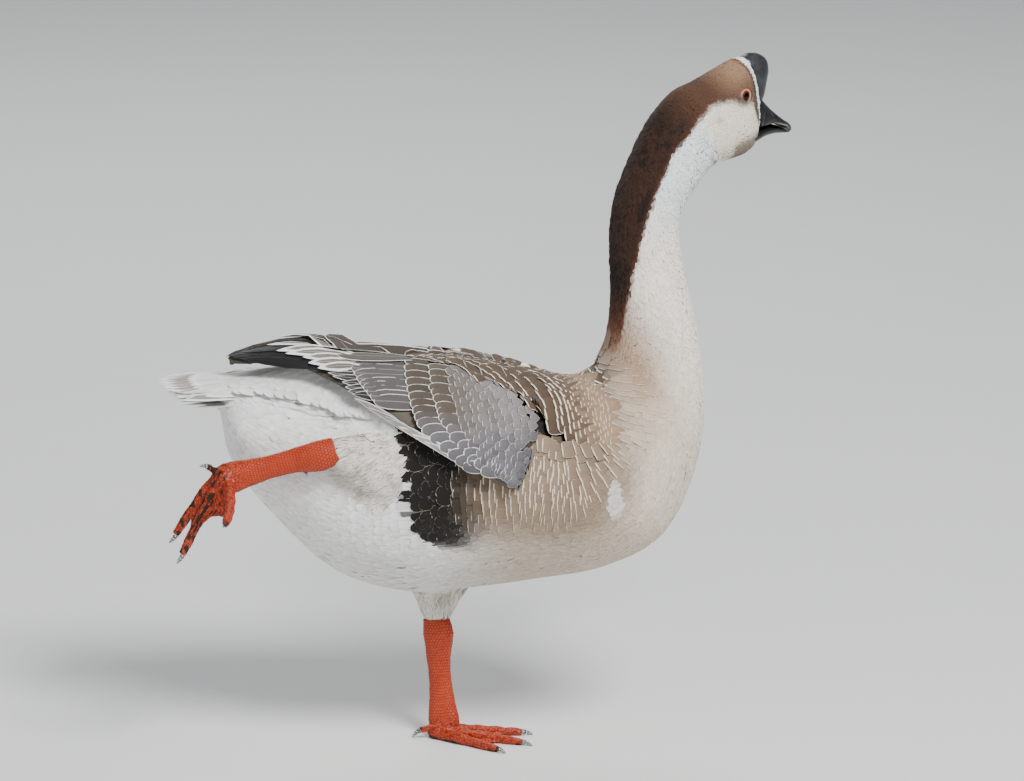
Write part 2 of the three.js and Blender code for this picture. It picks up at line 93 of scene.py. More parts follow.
# ---------------------------------------------------------------- palette
CAP_FRONT = paint(138, 108, 84)
CAP_REAR = paint(76, 50, 35)
NAPE = paint(46, 28, 19)
NAPE_DEEP = paint(27, 16, 11)
RUST = paint(92, 50, 30)
CHIN = paint(118, 98, 78)
CHEEK = paint(240, 230, 211)
NECK_HIGH = paint(224, 227, 228)
NECK_LOW = paint(238, 229, 216)
NECK_BASE = paint(168, 138, 113)
BREAST = paint(220, 205, 186)
UNDER_BREAST = paint(192, 178, 160)
FLANK = paint(122, 98, 76)
FLANK_EDGE = paint(226, 210, 187)
SIDE_BLACK = paint(26, 24, 20)
SIDE_EDGE = paint(196, 188, 174)
BELLY = paint(214, 213, 207)
WHITE = paint(240, 241, 239)
SCAPULAR = paint(86, 70, 55)
# Painted shade: near black for the hollow under the shoulder's feathers.
POCKET_SHADE = paint(34, 33, 27)
SHOULDER_BUFF = paint(158, 132, 108)
SCAPULAR_EDGE = paint(242, 230, 208)
WING_GREY = paint(132, 127, 125)
LILAC = paint(104, 102, 106)
LESSER_EDGE = paint(208, 203, 199)
COVERT = paint(82, 73, 64)
COVERT_EDGE = paint(240, 238, 233)
TERTIAL = paint(84, 77, 70)
SECONDARY = paint(92, 88, 86)
FAN_GREY = paint(52, 49, 47)
QUILL_BLACK = paint(14, 13, 13)
TAIL_GREY = paint(160, 152, 142)
THIGH = paint(228, 221, 207)
THIGH_STREAK = paint(150, 136, 118)
MUD = paint(38, 28, 20)

# ---------------------------------------------------------------- the body's loft
BODY_Y = -4


def section(middle, up_half, right_half, widest=0.0, power=2.0):
    return np.concatenate([middle, up_half, right_half, [widest, power]])


def profile_section(top, bottom, width, widest=0.0, power=2.0, yaw=0.0, y=BODY_Y):
    """A section of the trunk or neck from its places in the side view, turned by yaw degrees."""
    turn = np.array(Euler((0, 0, math.radians(yaw))).to_matrix())
    middle = [(top[0] + bottom[0]) / 2, y, (top[1] + bottom[1]) / 2]
    half = np.array([top[0] - bottom[0], 0, top[1] - bottom[1]]) / 2
    return section(middle, turn @ half, turn @ [0, -width / 2, 0], widest, power)


HEAD_PLACE = np.array([261.0, 56.0, 622.0])
HEAD_TURN = np.array(
    Euler([math.radians(angle) for angle in (6, 9, 48)], "XYZ").to_matrix()
)


def in_head(forward, up, right=0.0):
    """A place given from the midpoint between the eyes: forward along the bill, up and right."""
    return HEAD_PLACE + HEAD_TURN @ [forward, -right, up]


def head_section(top, bottom, width, widest=0.0, power=2.0):
    middle = in_head((top[0] + bottom[0]) / 2, (top[1] + bottom[1]) / 2)
    half = HEAD_TURN @ [(top[0] - bottom[0]) / 2, 0, (top[1] - bottom[1]) / 2]
    return section(middle, half, HEAD_TURN @ [0, -width / 2, 0], widest, power)


TRUNK = [
    profile_section((-212, 357), (-233, 337), 66, 0, 2.2),
    profile_section((-196, 361), (-221, 318), 98, 0, 2.1),
    profile_section((-176, 365), (-213, 284), 124, -0.05),
    profile_section((-150, 369), (-182, 238), 146, -0.05),
    profile_section((-108, 374), (-118, 175), 166, -0.05),
    profile_section((-55, 377), (-50, 151), 178),
    profile_section((5, 374), (12, 154), 182, 0.05),
    profile_section((62, 364), (78, 163), 178, 0.05),
    profile_section((104, 357), (142, 175), 166),
    profile_section((126, 364), (196, 204), 148),
    profile_section((139, 380), (227, 262), 124),
    profile_section((145, 405), (237, 328), 100),
]
NECK = [
    profile_section((148, 438), (231, 398), 80),
    profile_section((147, 470), (220, 450), 66, yaw=6),
    profile_section((146.7, 504), (213.2, 490), 58, yaw=15, y=BODY_Y + 2),
    profile_section((153, 542.5), (216.3, 517.4), 55, yaw=26, y=BODY_Y + 6),
    profile_section((176.4, 600), (236.3, 544), 54, yaw=38, y=BODY_Y + 17),
]
HEAD = [
    head_section((-77, -2.4), (-14.2, -72.1), 55.3),
    head_section((-50.8, 9.5), (3, -67.2), 52),
    head_section((-26.2, 20.7), (17.3, -64.2), 50.4),
    head_section((-4.1, 31.2), (31, -61.2), 45.4),
    head_section((12, 35.3), (44.5, -54.4), 37.8),
]


def smooth_rows(rows, t):
    """The rows' values at t from 0 to 1, along a Catmull-Rom curve."""
    rows = np.array(rows)
    last = len(rows) - 1
    reach = np.clip(np.asarray(t, float), 0, 1) * last
    before = np.minimum(np.floor(reach).astype(int), last - 1)
    share = (reach - before)[..., None]
    here, there = rows[before], rows[before + 1]
    inner = (before > 0)[..., None]
    behind = np.where(inner, rows[np.maximum(before - 1, 0)], 2 * rows[0] - rows[1])
    inner = (before < last - 1)[..., None]
    ahead = np.where(inner, rows[np.minimum(before + 2, last)], 2 * rows[last] - rows[last - 1])
    leave = (there - behind) / 2
    arrive = (ahead - here) / 2
    return (
        (2 * here - 2 * there + leave + arrive) * share**3
        + (3 * there - 3 * here - 2 * leave - arrive) * share**2
        + leave * share
        + here
    )


def loft(sections, t, angle):
    """Places on a loft at t along it and angle round it: 0 is its upper side and a quarter turn its right."""
    row = smooth_rows(sections, t)
    middle, up_half, right_half = row[..., 0:3], row[..., 3:6], row[..., 6:9]
    widest, power = row[..., 9], row[..., 10]
    up = np.sign(np.cos(angle)) * np.abs(np.cos(angle)) ** (2 / power)
    across = np.sign(np.sin(angle)) * np.abs(np.sin(angle)) ** (2 / power)
    level = widest + np.where(up >= 0, 1 - widest, 1 + widest) * up
    return middle + up_half * level[..., None] + right_half * across[..., None]


def loft_grid(sections, rings, columns, start=0.0, end=1.0):
    t, angle = np.meshgrid(
        np.linspace(start, end, rings),
        np.linspace(-math.pi, math.pi, columns, endpoint=False),
        indexing="ij",
    )
    return loft(sections, t, angle), t, angle


BODY = TRUNK + NECK + HEAD
BODY_STEPS = len(BODY) - 1


# ---------------------------------------------------------------- meshes
def new_object(name, points, faces, smooth=True):
    """An object from places in millimetres and an array of faces that all have as many corners."""
    mesh = bpy.data.meshes.new(name)
    faces = np.asarray(faces, np.int32)
    mesh.vertices.add(len(points))
    mesh.vertices.foreach_set("co", (np.asarray(points) * MM).astype(np.float32).ravel())
    mesh.loops.add(faces.size)
    mesh.loops.foreach_set("vertex_index", faces.ravel())
    mesh.polygons.add(len(faces))
    starts = np.arange(len(faces), dtype=np.int32) * faces.shape[1]
    mesh.polygons.foreach_set("loop_start", starts)
    mesh.update(calc_edges=True)
    mesh.polygons.foreach_set("use_smooth", np.full(len(faces), smooth))
    made = bpy.data.objects.new(name, mesh)
    bpy.context.scene.collection.objects.link(made)
    return made


def tube_faces(rings, columns):
    """Four-cornered faces of a closed-round grid of places, ring after ring, facing out."""
    ring, column = np.meshgrid(np.arange(rings - 1), np.arange(columns), indexing="ij")
    here = ring * columns + column
    beside = ring * columns + (column + 1) % columns
    return np.stack([here, beside, beside + columns, here + columns], -1).reshape(-1, 4)


def capped_tube(name, grid):
    """A closed object from a grid of rings, with a fan of faces over each end."""
    rings, columns = grid.shape[:2]
    points = np.concatenate([grid.reshape(-1, 3), [grid[0].mean(0)], [grid[-1].mean(0)]])
    quads = tube_faces(rings, columns)
    sides = np.concatenate([quads[:, [0, 1, 2]], quads[:, [0, 2, 3]]])
    column = np.arange(columns)
    beside = (column + 1) % columns
    first = np.stack([np.full(columns, rings * columns), beside, column], -1)
    far = (rings - 1) * columns
    last = np.stack([np.full(columns, rings * columns + 1), far + column, far + beside], -1)
    return new_object(name, points, np.concatenate([sides, first, last]))


def vertex_places(item):
    flat = np.empty(len(item.data.vertices) * 3, np.float32)
    item.data.vertices.foreach_get("co", flat)
    return flat.reshape(-1, 3).astype(float) / MM


def move_vertices(item, points):
    item.data.vertices.foreach_set("co", (points * MM).astype(np.float32).ravel())
    item.data.update()


def vertex_normals(item):
    flat = np.empty(len(item.data.vertices) * 3, np.float32)
    item.data.vertex_normals.foreach_get("vector", flat)
    return flat.reshape(-1, 3).astype(float)


def paint_vertices(item, name, colours):
    layer = item.data.color_attributes.new(name, "FLOAT_COLOR", "POINT")
    rows = np.ones((len(item.data.vertices), 4), np.float32)
    rows[:, :3] = colours
    layer.data.foreach_set("color", rows.ravel())


def set_uv(item, name, per_vertex):
    loops = np.empty(len(item.data.loops), np.int32)
    item.data.loops.foreach_get("vertex_index", loops)
    layer = item.data.uv_layers.new(name=name)
    layer.data.foreach_set("uv", np.asarray(per_vertex, np.float32)[loops].ravel())


def apply_modifiers(item):
    bpy.context.view_layer.update()
    seen = item.evaluated_get(bpy.context.evaluated_depsgraph_get())
    made = bpy.data.meshes.new_from_object(seen)
    item.modifiers.clear()
    item.data = made
    made.polygons.foreach_set("use_smooth", np.full(len(made.polygons), True))


def join(items):
    bpy.ops.object.select_all(action="DESELECT")
    for item in items:
        item.select_set(True)
    bpy.context.view_layer.objects.active = items[0]
    bpy.ops.object.join()
    return items[0]


def copy_node(name):
    """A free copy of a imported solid."""
    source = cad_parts[name]
    made = bpy.data.objects.new("copy_" + name, source.data.copy())
    made.data.materials.clear()
    bpy.context.scene.collection.objects.link(made)
    return made


def fused(name, items, voxel, rounds):
    """The items melted into one smooth closed surface, with faces about voxel millimetres across."""
    whole = join(items)
    whole.name = name
    whole.data.name = name
    remesh = whole.modifiers.new("fuse", "REMESH")
    remesh.mode = "VOXEL"
    remesh.voxel_size = voxel * MM
    relax = whole.modifiers.new("relax", "SMOOTH")
    relax.factor = 0.5
    relax.iterations = rounds
    apply_modifiers(whole)
    return whole


class Surface:
    """A surface to lay feathers on: the nearest place on it, its smooth normal, and where a ray meets it."""

    def __init__(self, item):
        self.points = vertex_places(item)
        self.normals = vertex_normals(item)
        item.data.calc_loop_triangles()
        corners = np.empty(len(item.data.loop_triangles) * 3, np.int32)
        item.data.loop_triangles.foreach_get("vertices", corners)
        self.faces = corners.reshape(-1, 3)
        self.tree = BVHTree.FromPolygons(self.points.tolist(), self.faces.tolist())

    def smooth_normals(self, places, hits):
        a, b, c = (self.points[self.faces[hits][:, k]] for k in range(3))
        whole = np.linalg.norm(np.cross(b - a, c - a), axis=-1) + 1e-9
        share_a = np.linalg.norm(np.cross(b - places, c - places), axis=-1) / whole
        share_b = np.linalg.norm(np.cross(c - places, a - places), axis=-1) / whole
        share_c = np.clip(1 - share_a - share_b, 0, 1)
        shares = np.stack([share_a, share_b, share_c], -1)[..., None]
        return unit((self.normals[self.faces[hits]] * shares).sum(1))

    def nearest(self, places):
        found = [self.tree.find_nearest(p) for p in places.tolist()]
        spots = np.array([tuple(f[0]) for f in found])
        return spots, self.smooth_normals(spots, np.array([f[2] for f in found]))

    def met_by(self, starts, heading):
        """Where rays meet it, or else the nearest place to where the ray passes the body's middle plane."""
        way = Vector(heading)
        found = [self.tree.ray_cast(p, way) for p in starts.tolist()]
        passing = starts + np.outer((BODY_Y - starts[:, 1]) / heading[1], heading)
        spots = np.array([tuple(f[0]) if f[0] else p for f, p in zip(found, passing.tolist())])
        missed = np.array([f[0] is None for f in found])
        hits = np.array([f[2] or 0 for f in found])
        if missed.any():
            near = [self.tree.find_nearest(p) for p in spots[missed].tolist()]
            spots[missed] = [tuple(f[0]) for f in near]
            hits[missed] = [f[2] for f in near]
        return spots, self.smooth_normals(spots, hits)


# ---------------------------------------------------------------- the forms that the feathers lie on
FLESH = ["trunk", "neck", "head", "tail"]
for side in SIDES:
    FLESH += [f"wing_{side}", f"primaries_{side}", f"thigh_{side}"]


def make_forms():
    """The outer form without the wings, and the whole form with them."""
    grid, _, _ = loft_grid(BODY, 260, 120)
    thighs = [f"thigh_{side}" for side in SIDES]
    wings = [f"{part}_{side}" for side in SIDES for part in ("wing", "primaries")]
    bare_parts = [capped_tube("bare", grid)] + [copy_node(n) for n in thighs]
    bare = fused("bare_form", bare_parts, 2.6, 5)
    whole_parts = [capped_tube("whole", grid)] + [copy_node(n) for n in thighs + wings + ["tail"]]
    whole = fused("skin", whole_parts, 2.2, 4)
    return bare, whole


bare_form, skin = make_forms()
bare_surface = Surface(bare_form)
whole_surface = Surface(skin)
bpy.data.objects.remove(bare_form)


# ---------------------------------------------------------------- where a place is on the body
def body_index():
    """A search tree over the body's loft, with the t and angle of each of its places."""
    grid, t, angle = loft_grid(BODY, 420, 120)
    places = grid.reshape(-1, 3)
    tree = KDTree(len(places))
    for number, place in enumerate(places.tolist()):
        tree.insert(place, number)
    tree.balance()
    return tree, t.ravel() * BODY_STEPS, angle.ravel()


index_tree, index_steps, index_angle = body_index()


def body_places(points):
    """For each point, its step along the body's sections and its angle in degrees from the spine."""
    numbers = [index_tree.find(p)[1] for p in points.tolist()]
    return index_steps[numbers], np.degrees(index_angle[numbers])


def unwrap(points):
    """The points' places on an unwrap of the skin: round the body across, and tail to bill upwards."""
    steps, angle = body_places(points)
    return np.stack([0.03 + 0.94 * (angle / 360 + 0.5), 0.03 + 0.94 * steps / BODY_STEPS], -1)


# ---------------------------------------------------------------- markings
# The edge of the brown cap and nape: step along the body, and degrees from the spine.
CAP_EDGE = np.array([
    (9.8, 0), (10.3, 26), (11, 38), (11.6, 46), (12, 49), (12.4, 55.5), (13, 61.3), (13.4, 68), (14.1, 73.5), (14.9, 76),
    (15.2, 72), (15.5, 69.5), (15.8, 66), (16, 68.5), (16.4, 66), (16.7, 60.5), (17.1, 58.5),
    (17.6, 53.5), (18.1, 56.5), (18.7, 62), (19, 67), (19.2, 72.5), (20.05, 79), (20.15, 90),
    (20.43, 100), (20.8, 110), (21, 113),
])
# The white band behind the bill: degrees from the spine, and its width in steps.
BAND = np.array([
    (0, 0.8), (8, 0.8), (22, 0.7), (36, 0.51), (48, 0.44), (59, 0.43), (73, 0.47), (87, 0.5),
    (103, 0.28), (115, 0.15), (130, 0.02), (180, 0.02),
])
# Where the low edge of the shoulder's feathers hangs over the flank's top edge, in the wing's plan.
HOLLOW_ABOVE = np.array([(66, 258), (86, 256), (100, 241), (118, 236), (137, 230)])
# The low edge of the white feathers that hang over the vent, in the same plan.
RUMP_LOW = [(-86, 256), (-104, 258), (-123, 264), (-160, 275), (-196, 281), (-230, 283), (-263, 286)]
HOLLOW_BELOW = np.array([(66, 236), (99, 229), (136, 228)])


def plan_height(points):
    """Height as seen from 30 degrees above the bird's side."""
    return 0.866 * points[:, 2] - 0.5 * np.abs(points[:, 1] - BODY_Y) - 2


def hollow_at(points):
    """1 in the dark hollow between the shoulder and the flank, and 0 outside it."""
    x, height = points[:, 0], plan_height(points)
    above = np.interp(x, HOLLOW_ABOVE[:, 0], HOLLOW_ABOVE[:, 1])
    below = np.interp(x, HOLLOW_BELOW[:, 0], HOLLOW_BELOW[:, 1])
    inside = ramp(height, below - 1, below + 4) * (1 - ramp(height, above + 6, above + 12))
    return inside * ramp(x, 60, 70) * (1 - ramp(x, 126, 142))


def folds(points):
    """How far the coat rises over its even form: furrows on the neck, and the flank's ruffled edge."""
    steps, angle = body_places(points)
    tilt = np.abs(angle)
    x = points[:, 0]
    wander = ripple(points, 16, 11)
    neck = ramp(steps, 11, 12.2) * (1 - ramp(steps, 15.6, 17.2))
    furrow = np.sin(steps * 46 + 2.4 * wander + 0.03 * tilt) * (0.55 + 0.45 * ripple(points, 26, 4))
    grooves = 0.55 * neck * furrow * ramp(tilt, 30, 80)
    crush = ripple(points * [1.0, 1.0, 0.5], 3.6, 8) * 1.1 * neck * (1 - ramp(tilt, 50, 100))
    ruffle = 0.9 * ripple(points * [1.0, 1.0, 0.6], 13, 6) * ramp(steps, 8, 9.5) * (1 - ramp(steps, 10.6, 11.6))
    edge = np.interp(x, HOLLOW_BELOW[:, 0], HOLLOW_BELOW[:, 1])
    shelf = 3.2 * np.exp(-(((plan_height(points) - edge + 3) / 5.5) ** 2)) * ramp(x, 55, 75)
    shelf = shelf * (1 - ramp(x, 132, 150))
    low = np.interp(-x, [-p for p, _ in RUMP_LOW], [h for _, h in RUMP_LOW])
    vent = -3.5 * np.exp(-(((plan_height(points) - low + 9) / 8) ** 2)) * (1 - ramp(x, -104, -90))
    forward, up, _ = head_places(points)
    dewlap = np.exp(-(((up + 64 + 0.25 * (forward + 20)) / 2.4) ** 2)) * ramp(forward, -44, -32)
    dewlap = dewlap * (1 - ramp(forward, -4, 6))
    return grooves + crush + ruffle + shelf + vent - 4.5 * hollow_at(points) - 1.4 * dewlap


def head_places(points):
    """Each point in the head's frame: forward, up, right."""
    local = (points - HEAD_PLACE) @ HEAD_TURN
    return local[:, 0], local[:, 2], -local[:, 1]


def eye_centre(side):
    low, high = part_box(f"eye_{side}")
    return np.array((low + high) / 2) / MM


EYE_CENTRES = {side: eye_centre(side) for side in SIDES}
EYE_AXES = {side: unit(HEAD_TURN @ [-0.02, -SIDES[side] * 1.0, 0.1]) for side in SIDES}
EYE_FORWARD = [float(values[0]) for values in head_places(EYE_CENTRES["right"][None])]
EYE = {"ball": 8.2, "opening": 5.6, "lid": 1.15}


def plumage(points):
    """The coat's colour, its edge colour, and how many mm the edge takes at a vane's sides and tip."""
    steps, angle = body_places(points)
    x, z = points[:, 0], points[:, 2]
    tilt = np.abs(angle)
    drift = ripple(points, 30)
    fine = ripple(points, 7, 3)
    streak = ripple(points * [0.35, 1.0, 1.0], 6, 13)

    # trunk, from the belly up
    base = blend(WHITE, BELLY, ramp(x, -190, -60) * ramp(tilt, 100, 150))
    base = blend(base, UNDER_BREAST, ramp(x + 14 * drift, -30, 60) * (1 - ramp(x, 150, 215)))
    edge = blend(base, WHITE, np.full(len(points), 0.5))
    side = np.full(len(points), 0.15)
    tip = np.full(len(points), 0.8)

    height = plan_height(points)
    rear_edge = np.interp(height, [138, 148, 160, 180, 228], [-10, -34, -46, -54, -57])
    flank = ramp(x + 3 * fine, rear_edge - 2, rear_edge + 3) * ramp(height + 5 * fine, 134, 164)
    flank = flank * ramp(tilt, 22, 44)
    flank_colour = blend(FLANK, BREAST, 0.15 + 0.75 * ramp(x + 0.28 * (z - 300), 130, 205))
    flank_colour = flank_colour * (1 - 0.16 * ramp(drift, 0, 0.5))[:, None]
    base = blend(base, flank_colour, flank)
    edge = blend(edge, FLANK_EDGE, flank)
    tip = np.where(flank > 0.3, 0.3 + 1.0 * ramp(height, 146, 190) * (1 - 0.6 * ramp(steps, 8.4, 9.6)), tip)
    side = np.where(flank > 0.3, 0.1, side)

    black = ramp(x + 3 * fine, rear_edge - 2, rear_edge + 2)
    black = black * (1 - ramp(x + 12 * drift + 6 * fine, -8, 46)) * ramp(height + 4 * fine, 136, 146)
    black = black * (1 - ramp(x, 0, 40) * (1 - ramp(height, 140, 175)))
    base = blend(base, SIDE_BLACK, black)
    edge = blend(edge, SIDE_EDGE, black)
    tip = np.where(black > 0.5, 0.6 * ramp(fine, -0.1, 0.3), tip)

    front = ramp(steps, 7.2, 9.4) * ramp(tilt + 7 * (steps - 8), 96, 128)
    base = blend(base, BREAST, front)
    edge = blend(edge, FLANK_EDGE, front)
    pale = ramp(1 + 0.3 * fine - ((x - 150) / 8.5) ** 2 - ((z - 256) / 21) ** 2, 0, 0.5) * (tilt > 50)
    base = blend(base, WHITE, 0.6 * pale)

    back = (1 - ramp(tilt + 3 * fine, 40, 52)) * ramp(x, -120, -80) * (1 - ramp(steps, 9.2, 10.4))
    base = blend(base, SCAPULAR, back)
    edge = blend(edge, SCAPULAR_EDGE, back)
    tip = np.where(back > 0.5, 1.5, tip)
    # Painted shade: the hollow between the shoulder and the flank is pushed in and also painted near black, on the
    # feathers and on the skin.
    hollow = hollow_at(points)
    base = blend(base, POCKET_SHADE, hollow)
    edge = blend(edge, POCKET_SHADE, hollow)

    # neck
    buff = ramp(steps, 9.4, 10.8)
    neck_colour = blend(NECK_BASE, BREAST, ramp(tilt + 5 * (11 - steps), 70, 130))
    neck_colour = blend(neck_colour, NECK_LOW, ramp(steps + 0.01 * (tilt - 60), 10.9, 13.0))
    neck_colour = blend(neck_colour, NECK_HIGH, ramp(steps, 13.6, 15.2))
    neck_colour = blend(neck_colour, CHEEK, ramp(steps + 0.004 * (120 - tilt), 16.7, 17.4))
    neck_colour = neck_colour * (1 - 0.09 * ramp(streak, 0.05, 0.5))[:, None]
    base = blend(base, neck_colour, buff)
    edge = blend(edge, blend(neck_colour, WHITE, 0.45 + 0 * buff), buff)
    tip = np.where(buff > 0.5, 0.7, tip)
    side = np.where(buff > 0.5, 0.1, side)

    # cap and nape
    reach = np.interp(steps, CAP_EDGE[:, 0], CAP_EDGE[:, 1])
    inside = reach - tilt + 1.3 * fine + 1.2 * streak
    soft = 3 * ramp(steps, 16.8, 17.6)
    brown = ramp(inside, -4 - 1.4 * soft, 3 + soft) * ramp(steps, 9.9, 11.6)
    rusty = (1 - ramp(inside, 1, 9)) * (1 - ramp(steps, 17, 18))
    cap = blend(NAPE, NAPE_DEEP, ramp(fine + drift, -0.1, 0.5))
    cap = blend(cap, CAP_REAR, ramp(steps, 15.8, 17.6))
    cap = blend(cap, CAP_FRONT, ramp(steps, 17.8, 19.7) * (1 - 0.75 * ramp(tilt, 30, 66)))
    cap = blend(cap, RUST, 0.45 * rusty)
    cap = blend(cap, RUST * 1.5, 0.75 * (1 - ramp(steps, 10.8, 12.4)))
    base = blend(base, cap, brown)
    edge = blend(edge, np.clip(cap * 1.45, 0, 0.9), brown)

    # face: the white band at the bill with a dark line behind it, the chin, the ear and the eye's corner
    forward, up, right = head_places(points)
    width = np.interp(tilt, BAND[:, 0], BAND[:, 1])
    behind = BODY_STEPS - steps - width
    dark_line = np.exp(-(((behind - 0.12) / 0.11) ** 2)) * (1 - ramp(tilt, 100, 118))
    base = blend(base, NAPE, 0.7 * dark_line)
    edge = blend(edge, NAPE, 0.7 * dark_line)
    band = (1 - ramp(behind + 0.05 * fine, -0.05, 0.03)) * (width > 0.04)
    base = blend(base, WHITE, band)
    edge = blend(edge, WHITE, band)
    pink = band * (1 - ramp(BODY_STEPS - steps, 0.1, 0.24)) * (1 - ramp(tilt, 50, 70))
    base = blend(base, paint(214, 142, 122), 0.85 * pink)
    edge = blend(edge, paint(214, 142, 122), 0.85 * pink)
    chin = ramp(steps, 18, 18.7) * ramp(tilt, 113, 130)
    base = blend(base, CHIN, 0.85 * chin)
    edge = blend(edge, CHIN * 1.15, 0.85 * chin)
    ear = np.exp(-(((forward + 39) / 5) ** 2 + ((up + 22.5) / 2.6) ** 2))
    base = blend(base, CAP_REAR, 0.4 * ear)
    middle = EYE_FORWARD
    smudge = np.exp(-(((forward - middle[0] + 9) / 6) ** 2 + ((up - middle[1] + 5) / 5) ** 2))
    base = blend(base, NAPE, 0.6 * smudge)
    rim_line = np.exp(-(((forward - middle[0] + 1) / 6.5) ** 2 + ((up - middle[1]) / 8.6) ** 2) ** 3)
    base = blend(base, NAPE, 0.5 * rim_line)
    base = base * (1 + 0.07 * fine + 0.05 * drift)[:, None]
    return np.clip(base, 0, 0.95), np.clip(edge, 0, 0.95), np.stack([side, tip], -1)


# ---------------------------------------------------------------- skin
def coat_depth(points):
    """How far the skin lies inside the outer form."""
    steps, _ = body_places(points)
    depth = 4.5 - 2 * ramp(steps, 11, 13) - 1.6 * ramp(steps, 16, 18)
    return depth


def shape_skin(item):
    """Sets the skin inside the outer form by the coat's depth, or by less where the form is thin."""
    points = vertex_places(item)
    normals = vertex_normals(item)
    depth = coat_depth(points)
    tree = whole_surface.tree
    starts = points - normals * 0.4
    ways = (-normals).tolist()
    found = [tree.ray_cast(p, Vector(w)) for p, w in zip(starts.tolist(), ways)]
    through = np.array([f[3] if f[0] else 50.0 for f in found])
    depth = np.minimum(depth, through * 0.3)
    rise = np.minimum(folds(points), 0.5 * depth)
    move_vertices(item, points - normals * (depth - rise)[:, None])


# ---------------------------------------------------------------- materials
class Nodes:
    """A short way to build one procedural material."""

    def __init__(self, name):
        self.material = bpy.data.materials.new(name)
        self.material.use_nodes = True
        self.tree = self.material.node_tree
        self.shader = self.tree.nodes["Principled BSDF"]

    def add(self, kind, inputs=(), **settings):
        node = self.tree.nodes.new(kind)
        for name, value in settings.items():
            setattr(node, name, value)
        for name, value in dict(inputs).items():
            self.feed(node.inputs[name], value)
        return node

    def feed(self, socket, value):
        if isinstance(value, bpy.types.NodeSocket):
            self.tree.links.new(value, socket)
        elif isinstance(value, bpy.types.Node):
            self.tree.links.new(value.outputs[0], socket)
        else:
            socket.default_value = value

    def math(self, operation, first, second=0.0, clamp=False):
        node = self.add("ShaderNodeMath", {0: first, 1: second}, operation=operation)
        node.use_clamp = clamp
        return node.outputs[0]

    def step(self, value, start, end):
        """0 below start and 1 above end, or the other way round if end is the smaller."""
        node = self.add("ShaderNodeMapRange", {"Value": value, "From Min": start, "From Max": end})
        node.interpolation_type = "SMOOTHSTEP"
        return node.outputs["Result"]

    def mix(self, share, first, second, mode="MIX"):
        node = self.add("ShaderNodeMix", data_type="RGBA", blend_type=mode)
        self.feed(node.inputs["Factor"], share)
        self.feed(node.inputs[6], first)
        self.feed(node.inputs[7], second)
        return node.outputs[2]

    def noise(self, place, scale, detail=3.0, rough=0.55):
        inputs = {"Vector": place, "Scale": scale, "Detail": detail, "Roughness": rough}
        return self.add("ShaderNodeTexNoise", inputs).outputs["Fac"]

    def bump(self, height, strength, distance):
        inputs = {"Height": height, "Strength": strength, "Distance": distance}
        node = self.add("ShaderNodeBump", inputs)
        self.feed(self.shader.inputs["Normal"], node.outputs["Normal"])

    def finish(self, **settings):
        for name, value in settings.items():
            self.feed(self.shader.inputs[name.replace("_", " ")], value)
        return self.material


def colour(rgb, alpha=1.0):
    return (*[float(v) for v in rgb], alpha)


def feather_material(name, gloss=0.0, shaft=0.35, barbs=1.0):
    """Reads each vane's own colours, and draws its pale edge, shaft and barbs from its reach: the way
    in mm from its side edge, from its tip, and from its shaft."""
    n = Nodes(name)
    base = n.add("ShaderNodeAttribute", attribute_name="base").outputs["Color"]
    rim = n.add("ShaderNodeAttribute", attribute_name="rim").outputs["Color"]
    reach = n.add("ShaderNodeAttribute", attribute_name="reach").outputs["Vector"]
    reach = n.add("ShaderNodeSeparateXYZ", {0: reach}).outputs
    trim = n.add("ShaderNodeAttribute", attribute_name="trim").outputs["Vector"]
    trim = n.add("ShaderNodeSeparateXYZ", {0: trim}).outputs
    solid = n.add("ShaderNodeTexCoord").outputs["Object"]
    wobble = n.math("MULTIPLY", n.math("SUBTRACT", n.noise(solid, 700.0), 0.5), 0.9)
    side = n.math("SUBTRACT", trim["X"], reach["X"])
    tip = n.math("SUBTRACT", trim["Y"], reach["Y"])
    edge = n.step(n.math("ADD", n.math("MAXIMUM", side, tip), wobble), -0.25, 0.25)
    # Painted shade: each vane is darkened from 2 mm to 11 mm behind its tip, where the feather over it would shade
    # it.
    shadow = n.step(reach["Y"], 2.0, 11.0)
    darker = n.mix(1.0, base, (0.74, 0.72, 0.70, 1), "MULTIPLY")
    shaded = n.mix(n.math("MULTIPLY", shadow, 0.55), base, darker)
    shaded = n.mix(edge, shaded, rim)
    barb = n.math("ADD", reach["Y"], n.math("MULTIPLY", reach["Z"], 0.9))
    barb = n.math("SINE", n.math("MULTIPLY", barb, 7.5))
    line = n.step(reach["Z"], 0.45, 0.15)
    shaded = n.mix(n.math("MULTIPLY", line, shaft), shaded, rim)
    grain = n.noise(solid, 420.0, 4.0)
    tone = n.math("ADD", n.math("MULTIPLY", barb, 0.05 * barbs), n.math("MULTIPLY", grain, 0.3))
    tone = n.math("ADD", tone, n.math("MULTIPLY", trim["Z"], 0.16))
    tone = n.math("ADD", tone, 0.79)
    grey = n.add("ShaderNodeCombineXYZ", {0: tone, 1: tone, 2: tone}).outputs[0]
    shaded = n.mix(1.0, shaded, grey, "MULTIPLY")
    height = n.math("ADD", n.math("MULTIPLY", barb, 0.5), n.math("MULTIPLY", line, 1.5))
    n.bump(height, 0.35 * barbs, 0.0004)
    n.shader.inputs["Sheen Weight"].default_value = 0.1
    n.shader.inputs["Sheen Roughness"].default_value = 0.5
    n.shader.inputs["Specular IOR Level"].default_value = 0.2 + 0.35 * gloss
    return n.finish(Base_Color=shaded, Roughness=0.8 - 0.42 * gloss)


def skin_material():
    n = Nodes("skin_down")
    base = n.add("ShaderNodeAttribute", attribute_name="base").outputs["Color"]
    solid = n.add("ShaderNodeTexCoord").outputs["Object"]
    down = n.noise(solid, 700.0, 5.0, 0.7)
    shaded = n.mix(n.math("MULTIPLY", down, 0.5), base, (0.25, 0.22, 0.18, 1))
    n.bump(down, 0.6, 0.0008)
    n.shader.inputs["Specular IOR Level"].default_value = 0.2
    return n.finish(Base_Color=shaded, Roughness=0.85)


